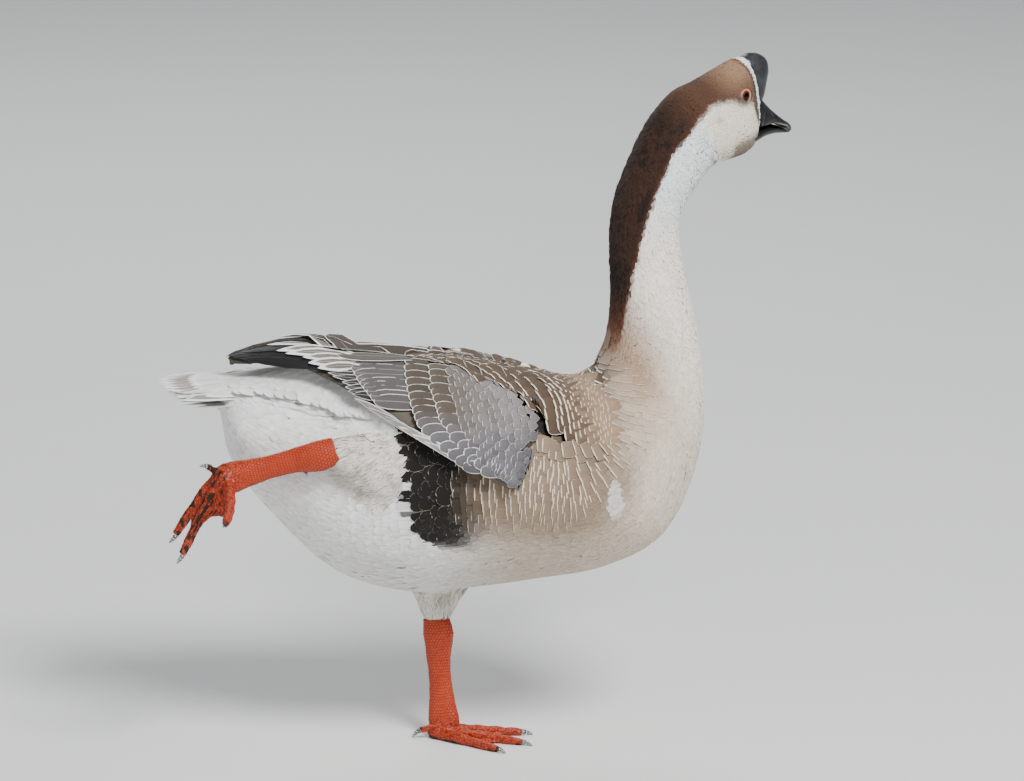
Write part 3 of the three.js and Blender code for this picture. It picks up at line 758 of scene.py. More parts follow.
def lid_material():
    n = Nodes("eyelid")
    solid = n.add("ShaderNodeTexCoord").outputs["Object"]
    pores = n.add("ShaderNodeTexVoronoi", {"Vector": solid, "Scale": 1500.0}).outputs["Distance"]
    tint = n.noise(solid, 300.0)
    shaded = n.mix(tint, colour(paint(176, 92, 62)), colour(paint(214, 150, 120)))
    n.bump(pores, 0.5, 0.0002)
    n.shader.inputs["Subsurface Weight"].default_value = 0.15
    n.shader.inputs["Subsurface Radius"].default_value = (0.002, 0.001, 0.0005)
    return n.finish(Base_Color=shaded, Roughness=0.5)


def bill_material(name, dark, light, gloss):
    n = Nodes(name)
    solid = n.add("ShaderNodeTexCoord").outputs["Object"]
    cloud = n.noise(solid, 70.0, 4.0)
    grain = n.noise(solid, 900.0, 3.0, 0.7)
    flecks = n.add("ShaderNodeTexVoronoi", {"Vector": solid, "Scale": 380.0}).outputs["Distance"]
    pale = n.add("ShaderNodeAttribute", attribute_name="pale").outputs["Fac"]
    shade = n.add("ShaderNodeAttribute", attribute_name="dark").outputs["Fac"]
    shaded = n.mix(n.step(cloud, 0.35, 0.7), colour(dark), colour(light))
    # Painted highlight: a pale strip just above the upper bill's cutting edge.
    shaded = n.mix(n.math("MULTIPLY", pale, 0.6), shaded, colour(paint(150, 140, 132)))
    # The nail and the grin line are their own black; the nostril's dent and the gap under the cutting edge are
    # painted shade.
    shaded = n.mix(n.math("MULTIPLY", shade, 0.92), shaded, colour(paint(16, 15, 15)))
    relief = n.math("ADD", grain, n.math("MULTIPLY", flecks, 0.5))
    n.bump(relief, 0.3, 0.0003)
    rough = n.math("ADD", 0.44 - 0.2 * gloss, n.math("MULTIPLY", grain, 0.25))
    n.shader.inputs["Specular IOR Level"].default_value = 0.18
    n.shader.inputs["Coat Weight"].default_value = 0.15 * gloss
    n.shader.inputs["Coat Roughness"].default_value = 0.08
    return n.finish(Base_Color=shaded, Roughness=rough)


def leg_material():
    """Orange-red skin: the scales' own shapes come from the mesh, their tint and gloss from here, and a painted
    shade in the creases between them.
    """
    n = Nodes("leg_skin")
    solid = n.add("ShaderNodeTexCoord").outputs["Object"]
    crease_shade = n.add("ShaderNodeAttribute", attribute_name="crease_shade").outputs["Fac"]
    dirt = n.add("ShaderNodeAttribute", attribute_name="dirt").outputs["Fac"]
    cloud = n.noise(solid, 45.0, 4.0)
    grain = n.noise(solid, 1200.0, 3.0, 0.7)
    shaded = n.mix(cloud, colour(paint(166, 46, 17)), colour(paint(200, 74, 32)))
    # Painted shade: the creases between the scales are painted dark red.
    shaded = n.mix(n.math("MULTIPLY", crease_shade, 0.9), shaded, colour(paint(96, 24, 12)))
    patch = n.step(n.math("ADD", dirt, n.math("SUBTRACT", grain, 0.5)), 0.42, 0.62)
    shaded = n.mix(patch, shaded, colour(MUD))
    n.bump(grain, 0.3, 0.00025)
    n.shader.inputs["Specular IOR Level"].default_value = 0.35
    rough = n.math("ADD", 0.42, n.math("MULTIPLY", patch, 0.4))
    n.shader.inputs["Subsurface Weight"].default_value = 0.08
    n.shader.inputs["Subsurface Radius"].default_value = (0.003, 0.0012, 0.0006)
    return n.finish(Base_Color=shaded, Roughness=rough)


def claw_material():
    n = Nodes("claw_horn")
    solid = n.add("ShaderNodeTexCoord").outputs["Object"]
    streak = n.noise(solid, 500.0, 4.0)
    shaded = n.mix(streak, colour(paint(26, 20, 16)), colour(paint(66, 52, 42)))
    n.bump(streak, 0.3, 0.0003)
    return n.finish(Base_Color=shaded, Roughness=0.4)


def eye_material():
    """The eyeball: pupil, brown iris with fine rays, and a dark rim, by the angle off its own axis."""
    n = Nodes("eye_ball")
    place = n.add("ShaderNodeUVMap", uv_map="iris").outputs["UV"]
    split = n.add("ShaderNodeSeparateXYZ", {0: place}).outputs
    rays = n.add("ShaderNodeCombineXYZ", {0: n.math("MULTIPLY", split["X"], 60.0), 1: split["Y"]})
    fibre = n.noise(rays.outputs[0], 3.0, 4.0, 0.7)
    brown = n.mix(fibre, colour(paint(52, 22, 14)), colour(paint(112, 58, 36)))
    brown = n.mix(n.step(split["Y"], 0.78, 1.0), brown, colour(paint(26, 13, 9)))
    shaded = n.mix(n.step(split["Y"], 0.62, 0.67), colour(paint(4, 4, 4)), brown)
    n.shader.inputs["Specular IOR Level"].default_value = 0.15
    n.shader.inputs["Coat Weight"].default_value = 0.06
    n.shader.inputs["Coat Roughness"].default_value = 0.03
    return n.finish(Base_Color=shaded, Roughness=0.06)


MATERIALS = {
    "soft": feather_material("feather_soft", 0.0, 0.0, 0.8),
    "contour": feather_material("feather_contour", 0.1, 0.0, 1.0),
    "quill": feather_material("feather_quill", 0.3, 0.25, 1.2),
    "black_quill": feather_material("feather_black_quill", 0.45, 0.05, 1.0),
    "skin": skin_material(),
    "lid": lid_material(),
    "bill": bill_material("bill_horn", paint(18, 18, 19), paint(34, 35, 37), 1.0),
    # The lower bill's black is darker than the upper bill's: its own black with a painted shade for its underside.
    "bill_low": bill_material("bill_low_horn", paint(12, 11, 11), paint(26, 24, 24), 0.8),
    "knob": bill_material("knob_skin", paint(38, 39, 41), paint(62, 64, 66), 1.0),
    "leg": leg_material(),
    "claw": claw_material(),
    "eye": eye_material(),
}


def dress(item, material, nodes=()):
    """Gives a finished piece its material and body, and hides the solids that it stands for."""
    item.data.materials.clear()
    item.data.materials.append(MATERIALS[material])
    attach(item, "root")
    if nodes:
        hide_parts(*nodes)
    return item


# ---------------------------------------------------------------- vanes
# A vane's outline: share of its length, and share of its half width there.
ROUND = [(0, 0), (0.3, 0.62), (0.62, 1), (0.84, 0.86), (0.96, 0.45), (1, 0)]
BROAD = [(0, 0), (0.25, 0.8), (0.6, 1), (0.86, 0.96), (0.96, 0.66), (1, 0)]
SMALL = [(0, 0), (0.45, 0.9), (0.8, 0.85), (1, 0)]
SCALE = [(0, 0), (0.12, 0.42), (0.35, 0.82), (0.6, 1), (0.78, 0.95), (0.9, 0.74), (0.97, 0.42), (1, 0)]
BAR = [(0, 0), (0.3, 0.8), (0.6, 1), (0.9, 1), (0.975, 0.82), (1, 0)]
ARC = [(0, 0), (0.15, 0.5), (0.4, 0.9), (0.65, 1), (0.84, 0.97), (0.94, 0.8), (0.985, 0.45), (1, 0)]
DISC = [(0, 0), (0.2, 0.6), (0.42, 0.95), (0.6, 1), (0.78, 0.88), (0.9, 0.64), (0.97, 0.36), (1, 0)]
STRAND = [(0, 0), (0.3, 1), (0.7, 0.7), (1, 0)]
QUILL = [(0, 0), (0.08, 0.55), (0.3, 0.86), (0.55, 1), (0.75, 0.98), (0.88, 0.8), (0.96, 0.48), (1, 0)]
POINTED = [(0, 0), (0.08, 0.5), (0.3, 0.9), (0.55, 1), (0.75, 0.8), (0.9, 0.42), (0.97, 0.17), (1, 0)]


def vane_template(outline, across):
    """Rows of corners for one vane, as (row, share across from -1 to 1, upper or lower), and its faces."""
    rows = len(outline)
    corners = [(0, 0.0, 1)]
    ring = 2 * across
    for row in range(1, rows - 1):
        corners += [(row, 2 * k / across - 1, 1) for k in range(across + 1)]
        corners += [(row, 1 - 2 * k / across, -1) for k in range(1, across)]
    corners.append((rows - 1, 0.0, 1))
    faces = []
    for k in range(ring):
        beside = (k + 1) % ring
        faces.append((0, 1 + beside, 1 + k))
        last = 1 + (rows - 3) * ring
        faces.append((last + k, last + beside, len(corners) - 1))
        for row in range(rows - 3):
            here = 1 + row * ring
            faces.append((here + k, here + beside, here + ring + beside))
            faces.append((here + k, here + ring + beside, here + ring + k))
    return corners, np.array(faces)


def lay(surface, roots, headings, lengths, outline, height):
    """Lines that start at the roots and run along the surface. height gives their height at each share."""
    shares = np.array([share for share, _ in outline])
    place, normal = surface.nearest(roots)
    headings = flatten_onto(headings, normal)
    places, normals = [place], [normal]
    for step in np.diff(shares):
        place, normal = surface.nearest(place + headings * (lengths * step)[:, None])
        headings = flatten_onto(headings, normal)
        places.append(place)
        normals.append(normal)
    places = np.stack(places, 1)
    normals = np.stack(normals, 1)
    heights = np.interp(shares, *np.array(height).T)
    return places + normals * heights[None, :, None], normals


class Tract:
    """Vanes gathered for one piece of the coat."""

    def __init__(self):
        self.parts = []

    def add(self, lines, normals, outline, half, colours, across=2, thick=0.22, camber=0.18, roll=0.0):
        """half is each vane's half width in mm, camber the share of it by which its edges droop, and
        roll the height in mm by which its first edge stands over its second."""
        count = len(lines)
        base, edge, trim = colours
        self.parts.append({
            "lines": lines, "normals": normals, "outline": outline, "half": np.broadcast_to(half, count),
            "base": np.broadcast_to(base, (count, 3)), "edge": np.broadcast_to(edge, (count, 3)),
            "trim": np.broadcast_to(trim, (count, 2)), "across": across, "thick": thick,
            "camber": camber, "roll": np.broadcast_to(roll, count),
        })

    def build(self, name, material, slot, patch=0.003):
        rows = {key: [] for key in ("points", "faces", "bake", "base", "edge", "reach", "trim", "rims")}
        offset = 0
        for part in self.parts:
            made = vane_part(part)
            count, size = made["points"].shape[:2]
            rows["points"].append(made["points"].reshape(-1, 3))
            starts = offset + np.arange(count) * size
            rows["faces"].append((made["faces"][None] + starts[:, None, None]).reshape(-1, 3))
            offset += count * size
            spots = unwrap(part["lines"][:, 0])[:, None] + (made["uv"][None] - 0.5) * patch
            rows["bake"].append(spots.reshape(-1, 2))
            for key in ("base", "edge"):
                rows[key].append(np.repeat(part[key], size, 0))
            rows["reach"].append(made["reach"].reshape(-1, 3))
            trim = np.concatenate([part["trim"], rng.random((count, 1))], 1)
            rows["trim"].append(np.repeat(trim, size, 0))
            rows["rims"].append(np.tile(made["is_rim"], count))
        whole = {key: np.concatenate(parts) for key, parts in rows.items()}
        item = new_object(name, whole["points"], whole["faces"])
        set_uv(item, "OFBake", whole["bake"])
        paint_vertices(item, "base", whole["base"])
        paint_vertices(item, "rim", whole["edge"])
        for key in ("reach", "trim"):
            layer = item.data.attributes.new(key, "FLOAT_VECTOR", "POINT")
            layer.data.foreach_set("vector", whole[key].astype(np.float32).ravel())
        sharpen_rims(item, whole["rims"])
        return dress(item, material)


def vane_part(part):
    """Places, faces and maps of all vanes of one kind."""
    outline, across = part["outline"], part["across"]
    corners, faces = vane_template(outline, across)
    row, out, upper = np.array(corners).T
    row = row.astype(int)
    lines, normals = part["lines"], part["normals"]
    along = unit(np.gradient(lines, axis=1))
    beside = unit(np.cross(along, normals))
    lift = unit(np.cross(beside, along))
    width = np.array([w for _, w in outline])[row]
    half = part["half"][:, None] * width[None]
    thick = part["thick"] / 2 * (1 - out**2) * upper
    rise = thick[None] - part["camber"] * half * (out**2)[None]
    rise = rise + part["roll"][:, None] * (out * width)[None] / 2
    points = lines[:, row] + beside[:, row] * (half * out)[..., None] + lift[:, row] * rise[..., None]
    share = np.array([s for s, _ in outline])[row]
    length = np.linalg.norm(np.diff(lines, axis=1), axis=-1).sum(1)
    from_side = part["half"][:, None] * (width * (1 - np.abs(out)))[None]
    from_tip = length[:, None] * (1 - share)[None]
    reach = np.stack([from_side, from_tip, half * np.abs(out)], -1)
    ends = (row == 0) | (row == len(outline) - 1)
    uv = np.stack([0.5 + 0.5 * out, share], -1)
    return {"points": points, "faces": faces, "uv": uv, "reach": reach, "is_rim": (np.abs(out) > 0.999) | ends}


def sharpen_rims(item, is_rim):
    """Keeps the vane's upper and lower faces apart in the shading, along its rim."""
    pairs = np.empty(len(item.data.edges) * 2, np.int32)
    item.data.edges.foreach_get("vertices", pairs)
    sharp = is_rim[pairs.reshape(-1, 2)].all(1)
    layer = item.data.attributes.get("sharp_edge") or item.data.attributes.new("sharp_edge", "BOOLEAN", "EDGE")
    layer.data.foreach_set("value", sharp)
    item.data.update()


# ---------------------------------------------------------------- roots of the body's feathers
def ring_roots(first, last, gap, spread=1.0, jitter=0.15):
    """Roots in rows round the body from step first to step last. Rows are at most gap apart, and thin
    out where the body's curve brings them together. spread is the gap in a row over the gap of rows."""
    columns = np.linspace(-math.pi, math.pi, 181)
    steps = [first]
    while steps[-1] < last:
        here = loft(BODY, np.full(181, steps[-1] / BODY_STEPS), columns)
        there = loft(BODY, np.full(181, (steps[-1] + 0.05) / BODY_STEPS), columns)
        stretch = np.linalg.norm(there - here, axis=-1).max() / 0.05
        steps.append(steps[-1] + gap / stretch)
    places, headings, where = [], [], []
    for number, step in enumerate(steps[:-1]):
        ring = loft(BODY, np.full(181, step / BODY_STEPS), columns)
        after = loft(BODY, np.full(181, steps[number + 1] / BODY_STEPS), columns)
        apart = np.linalg.norm(after - ring, axis=-1)
        arc = np.concatenate([[0], np.cumsum(np.linalg.norm(np.diff(ring, axis=0), axis=-1))])
        count = max(int(arc[-1] / (gap * spread)), 8)
        offset = 0.5 * (number % 2)
        wanted = (np.arange(count) + offset + rng.normal(0, jitter, count)) / count * arc[-1]
        angle = np.interp(wanted % arc[-1], arc, columns)
        local = np.interp(angle, columns, apart)
        stride = 2 ** np.clip(np.round(np.log2(gap / local)), 0, 3).astype(int)
        keep = number % stride == 0
        angle = angle[keep]
        steady = step + rng.normal(0, jitter, len(angle)) * (steps[number + 1] - step)
        t = np.clip(steady, 0, BODY_STEPS) / BODY_STEPS
        spot = loft(BODY, t, angle)
        behind = loft(BODY, np.maximum(t - 0.01, -1), angle)
        ahead = loft(BODY, np.minimum(t + 0.01, 1), angle)
        places.append(spot)
        headings.append(unit(behind - ahead))
        where.append(np.stack([np.full(len(angle), step), np.degrees(angle)], -1))
    return np.concatenate(places), np.concatenate(headings), np.concatenate(where)


def depth_under(points):
    """How deep each point lies under the whole form, as under a wing."""
    spots, _ = whole_surface.nearest(points)
    return np.linalg.norm(spots - points, axis=-1)


def clear_of_eyes(lines, room):
    """False for the vanes that would lie over an eye."""
    clear = np.ones(len(lines), bool)
    for side in SIDES:
        middle = EYE_CENTRES[side] + EYE_AXES[side] * 5.4
        apart = np.linalg.norm(lines - middle, axis=-1).min(1)
        clear &= apart > room
    return clear


def body_tract(first, last, gap, longer, wider, outline, height, spread=1.0, thick=0.2, tilt=0.0, jitter=0.15):
    """Feathers over a length of the body. longer and wider are their length and width over the gap."""
    roots, headings, _ = ring_roots(first, last, gap, spread, jitter)
    chosen = depth_under(roots) < 9
    roots, headings = roots[chosen], headings[chosen]
    lengths = gap * longer * rng.uniform(0.85, 1.15, len(roots))
    middle = roots.mean(0)
    headings = headings + np.cross(headings, unit(roots - middle)) * rng.normal(0, 0.06, (len(roots), 1))
    starts = roots - headings * (lengths * 0.55)[:, None]
    lines, normals = lay(bare_surface, starts, headings, lengths, outline, height)
    rise = folds(lines.reshape(-1, 3)).reshape(lines.shape[:2])
    rise = rise + rng.normal(0, tilt, len(lines))[:, None]
    lines = lines + normals * rise[..., None]
    half = gap * wider / 2 * rng.uniform(0.9, 1.1, len(lines))
    return {
        "lines": lines, "normals": normals, "half": half, "colours": plumage(lines[:, -2]),
        "outline": outline, "thick": thick,
    }


def add_part(tract, part, camber=0.2, clear=None, edging=1.0):
    """clear is the share of vanes to keep, and edging how much of their pale edges."""
    keep = np.ones(len(part["lines"]), bool) if clear is None else clear
    base, edge, trim = (values[keep] for values in part["colours"])
    colours = (base, blend(base, edge, np.full(len(base), edging)), trim * edging)
    lines, normals, half = part["lines"][keep], part["normals"][keep], part["half"][keep]
    tract.add(lines, normals, part["outline"], half, colours, 2, part["thick"], camber)


FLAT_COAT = [(0, -1.6), (0.5, -0.1), (1, 0.9)]
DOWN_COAT = [(0, -0.8), (0.5, 0.0), (1, 0.3)]
SOFT_COAT = [(0, -1.6), (0.5, 0.0), (1, 0.7)]
FINE_COAT = [(0, -0.7), (0.5, 0.0), (1, 0.4)]
FACE_COAT = [(0, -0.45), (0.5, 0.0), (1, 0.25)]


def make_head_coat():
    tract = Tract()
    part = body_tract(17.2, 20.97, 1.7, 3.0, 1.3, SMALL, FACE_COAT, thick=0.14, tilt=0.08, jitter=0.25)
    add_part(tract, part, 0.25, clear_of_eyes(part["lines"], 7.6))
    tract.build("coat_head", "soft", "feather_brown")


def make_neck_coat():
    tract = Tract()
    part = body_tract(14.1, 17.3, 2.4, 3.0, 1.3, SMALL, FINE_COAT, thick=0.16, tilt=0.15, jitter=0.25)
    add_part(tract, part, 0.25)
    tract.build("coat_neck_upper", "soft", "feather_white")
    tract = Tract()
    part = body_tract(10.6, 14.2, 2.9, 3.0, 1.4, SMALL, FINE_COAT, thick=0.18, tilt=0.2, jitter=0.25)
    add_part(tract, part, 0.25)
    tract.build("coat_neck_lower", "soft", "feather_white")


def make_breast_coat():
    tract = Tract()
    part = body_tract(6.0, 10.9, 7.2, 2.8, 2.2, BAR, FLAT_COAT, spread=1.25, jitter=0.07, tilt=0.1)
    wave = ripple(part["lines"][:, -1], 11, 17)
    part["lines"] = part["lines"] + np.array([2.8, 0, 0.6]) * wave[:, None, None]
    high = plan_height(part["lines"][:, -1]) + 8 * ripple(part["lines"][:, -1], 14, 21)
    fine_zone = part["lines"][:, -1, 0] - 0.9 * (high - 200) > 150
    add_part(tract, part, 0.1, (high > 156) & ~fine_zone)
    tract.build("coat_breast", "contour", "feather_buff")
    tract = Tract()
    part = body_tract(5.4, 11, 4.0, 3.8, 1.5, ROUND, DOWN_COAT, jitter=0.3, tilt=0.1)
    high = plan_height(part["lines"][:, -1])
    fine_zone = part["lines"][:, -1, 0] - 0.9 * (high - 200) > 140
    add_part(tract, part, 0.12, (high < 166) | fine_zone, 0.4)
    tract.build("coat_breast_front", "contour", "feather_white")


def make_belly_coat():
    tract = Tract()
    part = body_tract(4.3, 6.2, 9.0, 2.6, 1.5, ROUND, FLAT_COAT, spread=1.1, jitter=0.2, tilt=0.3)
    high = plan_height(part["lines"][:, -1]) + 8 * ripple(part["lines"][:, -1], 14, 21)
    add_part(tract, part, 0.2, high > 138)
    part = body_tract(0.4, 5.6, 4.6, 4.4, 1.3, ROUND, DOWN_COAT, jitter=0.4, tilt=0.12)
    high = plan_height(part["lines"][:, -1])
    add_part(tract, part, 0.15, (high < 150) | (part["lines"][:, -1, 0] < -52), 0.5)
    tract.build("coat_body", "soft", "feather_white")


# ---------------------------------------------------------------- wings
PLAN_TILT = math.radians(30)


def make_wing_surface(side):
    form = fused("wing_form", [copy_node(f"wing_{side}"), copy_node(f"primaries_{side}")], 2.2, 4)
    surface = Surface(form)
    bpy.data.objects.remove(form)
    return surface


WING_SURFACES = {side: make_wing_surface(side) for side in SIDES}


def plan_places(side, plan, surface):
    """Places on a bird's outer side from its plan: x, and height as seen from 30 degrees above the side."""
    x, height = plan[:, 0], plan[:, 1]
    away = 300
    starts = np.stack([
        x,
        BODY_Y + height * math.sin(PLAN_TILT) - away * math.cos(PLAN_TILT) + 4,
        height * math.cos(PLAN_TILT) + away * math.sin(PLAN_TILT),
    ], -1)
    heading = np.array([0, math.cos(PLAN_TILT), -math.sin(PLAN_TILT)])
    if side == "left":
        starts[:, 1] = 2 * BODY_Y - starts[:, 1]
        heading[1] = -heading[1]
    return surface.met_by(starts, heading)


def curve_through(points, shares):
    """Places at equal shares of a smooth curve through a few plan points."""
    return smooth_rows(np.array(points, float), np.asarray(shares, float))


def plan_vanes(side, roots, tips, outline, heights, bow=0.0, surface=None):
    """Lines from roots to tips across a wing's plan, bowed sideways by a share of their length."""
    shares = np.array([share for share, _ in outline])
    way = tips - roots
    cross = np.stack([-way[:, 1], way[:, 0]], -1)
    plan = roots[:, None] + way[:, None] * shares[None, :, None]
    plan = plan + cross[:, None] * (bow * 4 * shares * (1 - shares))[None, :, None]
    if surface is None:
        surface = WING_SURFACES[side]
        if side == "left":
            ahead = ramp(plan[..., 0], -20, 80)
            low = 1 - ramp(plan[..., 1], 215, 270)
            plan = plan + np.stack([30 * ahead, 12 * ahead * low], -1)
    spots, normals = plan_places(side, plan.reshape(-1, 2), surface)
    spots = spots.reshape(*plan.shape[:2], 3)
    normals = normals.reshape(*plan.shape[:2], 3)
    smooth = normals.mean(1, keepdims=True)
    normals = unit(0.4 * normals + 0.6 * smooth)
    lift = np.interp(shares, *np.array(heights).T)
    return spots + normals * lift[None, :, None], normals


def tinted(colour_row, count, spread=0.07):
    """One colour for each of several vanes, each a little lighter or darker."""
    return np.clip(colour_row * rng.uniform(1 - spread, 1 + spread, (count, 1)), 0, 0.95)


def wing_row(tract, side, root_line, tip_line, count, width, outline, heights, base, edge, trim,
             roll=0.9, bow=0.0, jitter=0.0, across=4):
    """One row of wing feathers, from the back down."""
    shares = (np.arange(count) + 0.5) / count
    roots = curve_through(root_line, shares)
    tips = curve_through(tip_line, shares) + rng.normal(0, jitter, (count, 2))
    lines, normals = plan_vanes(side, roots, tips, outline, heights, bow)
    base_rows = tinted(base, count) if np.ndim(base) == 1 else base
    colours = (base_rows, tinted(edge, count, 0.03), trim)
    tract.add(lines, normals, outline, width / 2, colours, across, 0.35, 0.1, roll * SIDES[side])


LOW_EDGE = [(-78, 262), (-49, 243), (-21, 226), (7, 211), (34, 196)]


def covert_colours(count, high):
    """Brown at the back, lilac grey towards the wing's lower edge."""
    share = (np.arange(count) + 0.5) / count
    return blend(tinted(high, count), tinted(LILAC, count), ramp(share, 0.45, 0.75))


def make_wing(side):
    quills, black, coverts = Tract(), Tract(), Tract()
    wing_row(black, side, [(-112, 302), (-106, 317), (-98, 334)], [(-192, 317), (-210, 323), (-221, 329)], 9, 10,
             POINTED, [(0, -1.5), (1, 1.2)], QUILL_BLACK, FAN_GREY, (0.35, 0.3), 1.6, 0.03, 1.2)
    wing_row(quills, side, [(-60, 322), (-60, 302), (-60, 284), (-58, 266)],
             [(-147, 333), (-136, 319), (-121, 300), (-104, 284), (-93, 273)], 12, 9,
             POINTED, [(0, -1.5), (1, 0.6)], FAN_GREY, COVERT_EDGE, (0.5, 1.3), 0.8, 0.0, 1.0)
    wing_row(quills, side, [(-20, 312), (-20, 296), (-20, 280), (-16, 262)],
             [(-105, 315), (-97, 301), (-90, 286), (-82, 275), (-73, 263)], 10, 16,
             QUILL, [(0, -0.8), (0.5, 0.2), (1, 0.9)], SECONDARY, COVERT_EDGE, (0.6, 1.3), 1.1)
    wing_row(quills, side, LOW_EDGE[1:], [(-96, 274), (-78, 259), (-49, 241), (-21, 224)], 7, 9,
             POINTED, [(0, -0.2), (1, 1.1)], LESSER_EDGE * 0.62, WHITE, (1.1, 3), 0.7)
    wing_row(quills, side, [(-14, 326), (-14, 317)], [(-131, 331), (-104, 312)], 2, 23,
             QUILL, [(0, 0.4), (0.5, 1.4), (1, 1.6)], TERTIAL, COVERT_EDGE, (0.9, 1.6), 1.1, 0.02)
    wing_row(coverts, side, [(-16, 324), (-16, 300), (-12, 278), (-6, 257), (4, 240), (26, 216), (44, 200)],
             [(-46, 321), (-47, 300), (-44, 277), (-39, 256), (-31, 238), (-8, 217), (12, 202)], 17, 13.5,
             SCALE, [(0, 0.2), (1, 1.7)], covert_colours(17, COVERT), COVERT_EDGE, (0.6, 1.2), 0.8)
    wing_row(coverts, side, [(2, 324), (3, 298), (7, 275), (14, 254), (20, 236), (36, 213), (52, 195)],
             [(-24, 324), (-25, 300), (-22, 277), (-16, 257), (-8, 237), (10, 215), (28, 199)], 19, 12,
             SCALE, [(0, 0.7), (1, 2.2)], covert_colours(19, COVERT * 1.25), COVERT_EDGE, (0.5, 1.1), 0.7, 0.0, 1.0)
    make_lesser_coverts(coverts, side)
    wing_row(quills, side, [(-92, 327), (-90, 314), (-84, 301)], [(-176, 328), (-152, 313), (-120, 293)], 6, 12,
             POINTED, [(0, 0.4), (0.6, 1.6), (1, 3.6)], TERTIAL * 2.2, WHITE, (2.6, 7), 1.2, -0.05, 2.5)
    quills.build(f"wing_quills_{side}", "quill", "feather_grey")
    black.build(f"wing_primaries_{side}", "black_quill", "feather_black")
    coverts.build(f"wing_coverts_{side}", "contour", "feather_grey")


LESSER_REAR = [(8, 325), (9, 298), (13, 275), (19, 255), (25, 236), (38, 214), (50, 198)]
LESSER_FRONT = [(24, 320), (48, 302), (66, 277), (78, 256), (80, 233), (78, 206), (58, 187)]


def make_lesser_coverts(tract, side):
    """Small scale-like feathers in rows, the front row on the wing's leading edge."""
    rows, count = 10, 15
    for row in range(rows):
        share = row / (rows - 1)
        shares = (np.arange(count) + 0.25 + 0.5 * (row % 2)) / count
        line = curve_through(LESSER_REAR, shares)
        front = curve_through(LESSER_FRONT, shares)
        size = 16 - 6 * share
        roots = line * (1 - share) + front * share + rng.normal(0, 0.8, (count, 2))
        way = line - front
        way = way / np.linalg.norm(way, axis=-1, keepdims=True)
        way = way + np.array([-0.3, -0.15])
        way = way / np.linalg.norm(way, axis=-1, keepdims=True)
        tips = roots + way * size
        lines, normals = plan_vanes(side, roots, tips, DISC, [(0, 0.9), (0.6, 1.9), (1, 2.6)])
        low = 1 - ramp(roots[:, 1], 215, 262)
        base = blend(blend(COVERT * 1.3, WING_GREY, np.full(count, min(1, 0.3 + share))), LILAC, low)
        base = base * rng.uniform(0.82, 1.14, (count, 1))
        half = 6.6 - 1.6 * share
        smooth = 0.75 * ramp(share + 0.35 * ramp(roots[:, 1], 250, 310), 0.55, 1.2)
        edge = blend(tinted(LESSER_EDGE, count), base * 1.15, smooth)
        tract.add(lines, normals, DISC, half, (base, edge, (0.4, 0.8)), 4, 0.25, 0.2, 0.2 * SIDES[side])


# The cream tip lines of the shoulder's rows in the wing's plan, from the rear one forward.
SHOULDER_ROWS = [
    [(-44, 325), (-26, 321), (-10, 314), (2, 306), (10, 298)],
    [(-30, 325), (-14, 319), (0, 310), (12, 299), (20, 288)],
    [(-12, 325), (6, 319), (22, 309), (36, 294), (46, 278)],
    [(8, 324), (26, 314), (44, 297), (57, 280), (68, 264)],
    [(28, 322), (42, 314), (56, 298), (70, 277), (84, 254)],
    [(46, 320), (58, 310), (72, 291), (83, 270), (88, 244)],
    [(62, 318), (76, 306), (88, 288), (95, 266), (99, 240)],
    [(76, 315), (90, 300), (101, 281), (106, 262), (110, 236)],
    [(88, 312), (101, 296), (110, 277), (115, 258), (120, 233)],
    [(98, 310), (110, 291), (118, 273), (123, 254), (130, 230)],
    [(108, 307), (120, 289), (128, 271), (132, 252), (137, 229)],
    [(116, 305), (128, 287), (136, 269), (140, 250), (142, 229)],
    [(124, 303), (134, 286), (143, 269), (146, 258), (148, 240)],
]


def shoulder_lines():
    """The shoulder's tip lines, with one more between each two of the front half."""
    lines = [np.array(line, float) for line in SHOULDER_ROWS]
    made = lines[:7]
    for line, after in zip(lines[6:-1], lines[7:]):
        made += [(line + after) / 2, after]
    return made


def make_shoulder(side):
    """The brown, cream-tipped feathers from the back over the wing's front edge."""
    tract = Tract()
    rows = shoulder_lines()
    for number, line in enumerate(rows):
        front = float(ramp(number, 6, 15))
        count = 7 if number < 2 else int(9 + 5 * front)
        shares = (np.arange(count) + 0.25 + 0.5 * (number % 2)) / count
        tips = curve_through(line, shares)
        beyond = curve_through(line, np.minimum(shares + 0.02, 1)) - curve_through(line, shares - 0.02)
        square = np.stack([-beyond[:, 1], beyond[:, 0]], -1)
        square = square / np.linalg.norm(square, axis=-1, keepdims=True)
        way = 0.6 * square + np.array([0.4, 0.05])
        way = way / np.linalg.norm(way, axis=-1, keepdims=True)
        length = 26 - 12 * front
        tips = tips + rng.normal(0, 0.9, (count, 2))
        roots = tips + way * length
        heights = [(0, 0.2), (0.5, 1.6 - 0.8 * front), (1, 3.4 - 2.2 * front)]
        lines, normals = plan_vanes(side, roots, tips, ARC, heights, 0.0, whole_surface)
        spine = ramp(tips[:, 1], 318, 326)
        base = blend(tinted(SCAPULAR, count, 0.1), tinted(COVERT, count), 0.5 * spine)
        base = blend(base, SHOULDER_BUFF, ramp(number + 2.5 * rng.random(count), 8, 17))
        edge = blend(tinted(SCAPULAR_EDGE, count, 0.04), base * 1.3, np.full(count, 0.45 * front))
        half = 9.4 - 4.4 * front
        tract.add(lines, normals, ARC, half, (base, edge, (0.4, 1.5 - 0.6 * front)), 4, 0.3, 0.16,
                  0.4 * SIDES[side])
    tract.build(f"shoulder_{side}", "contour", "feather_brown")


RUMP_HIGH = [(-70, 268), (-92, 276), (-112, 286), (-150, 300), (-188, 310), (-222, 316), (-256, 314)]


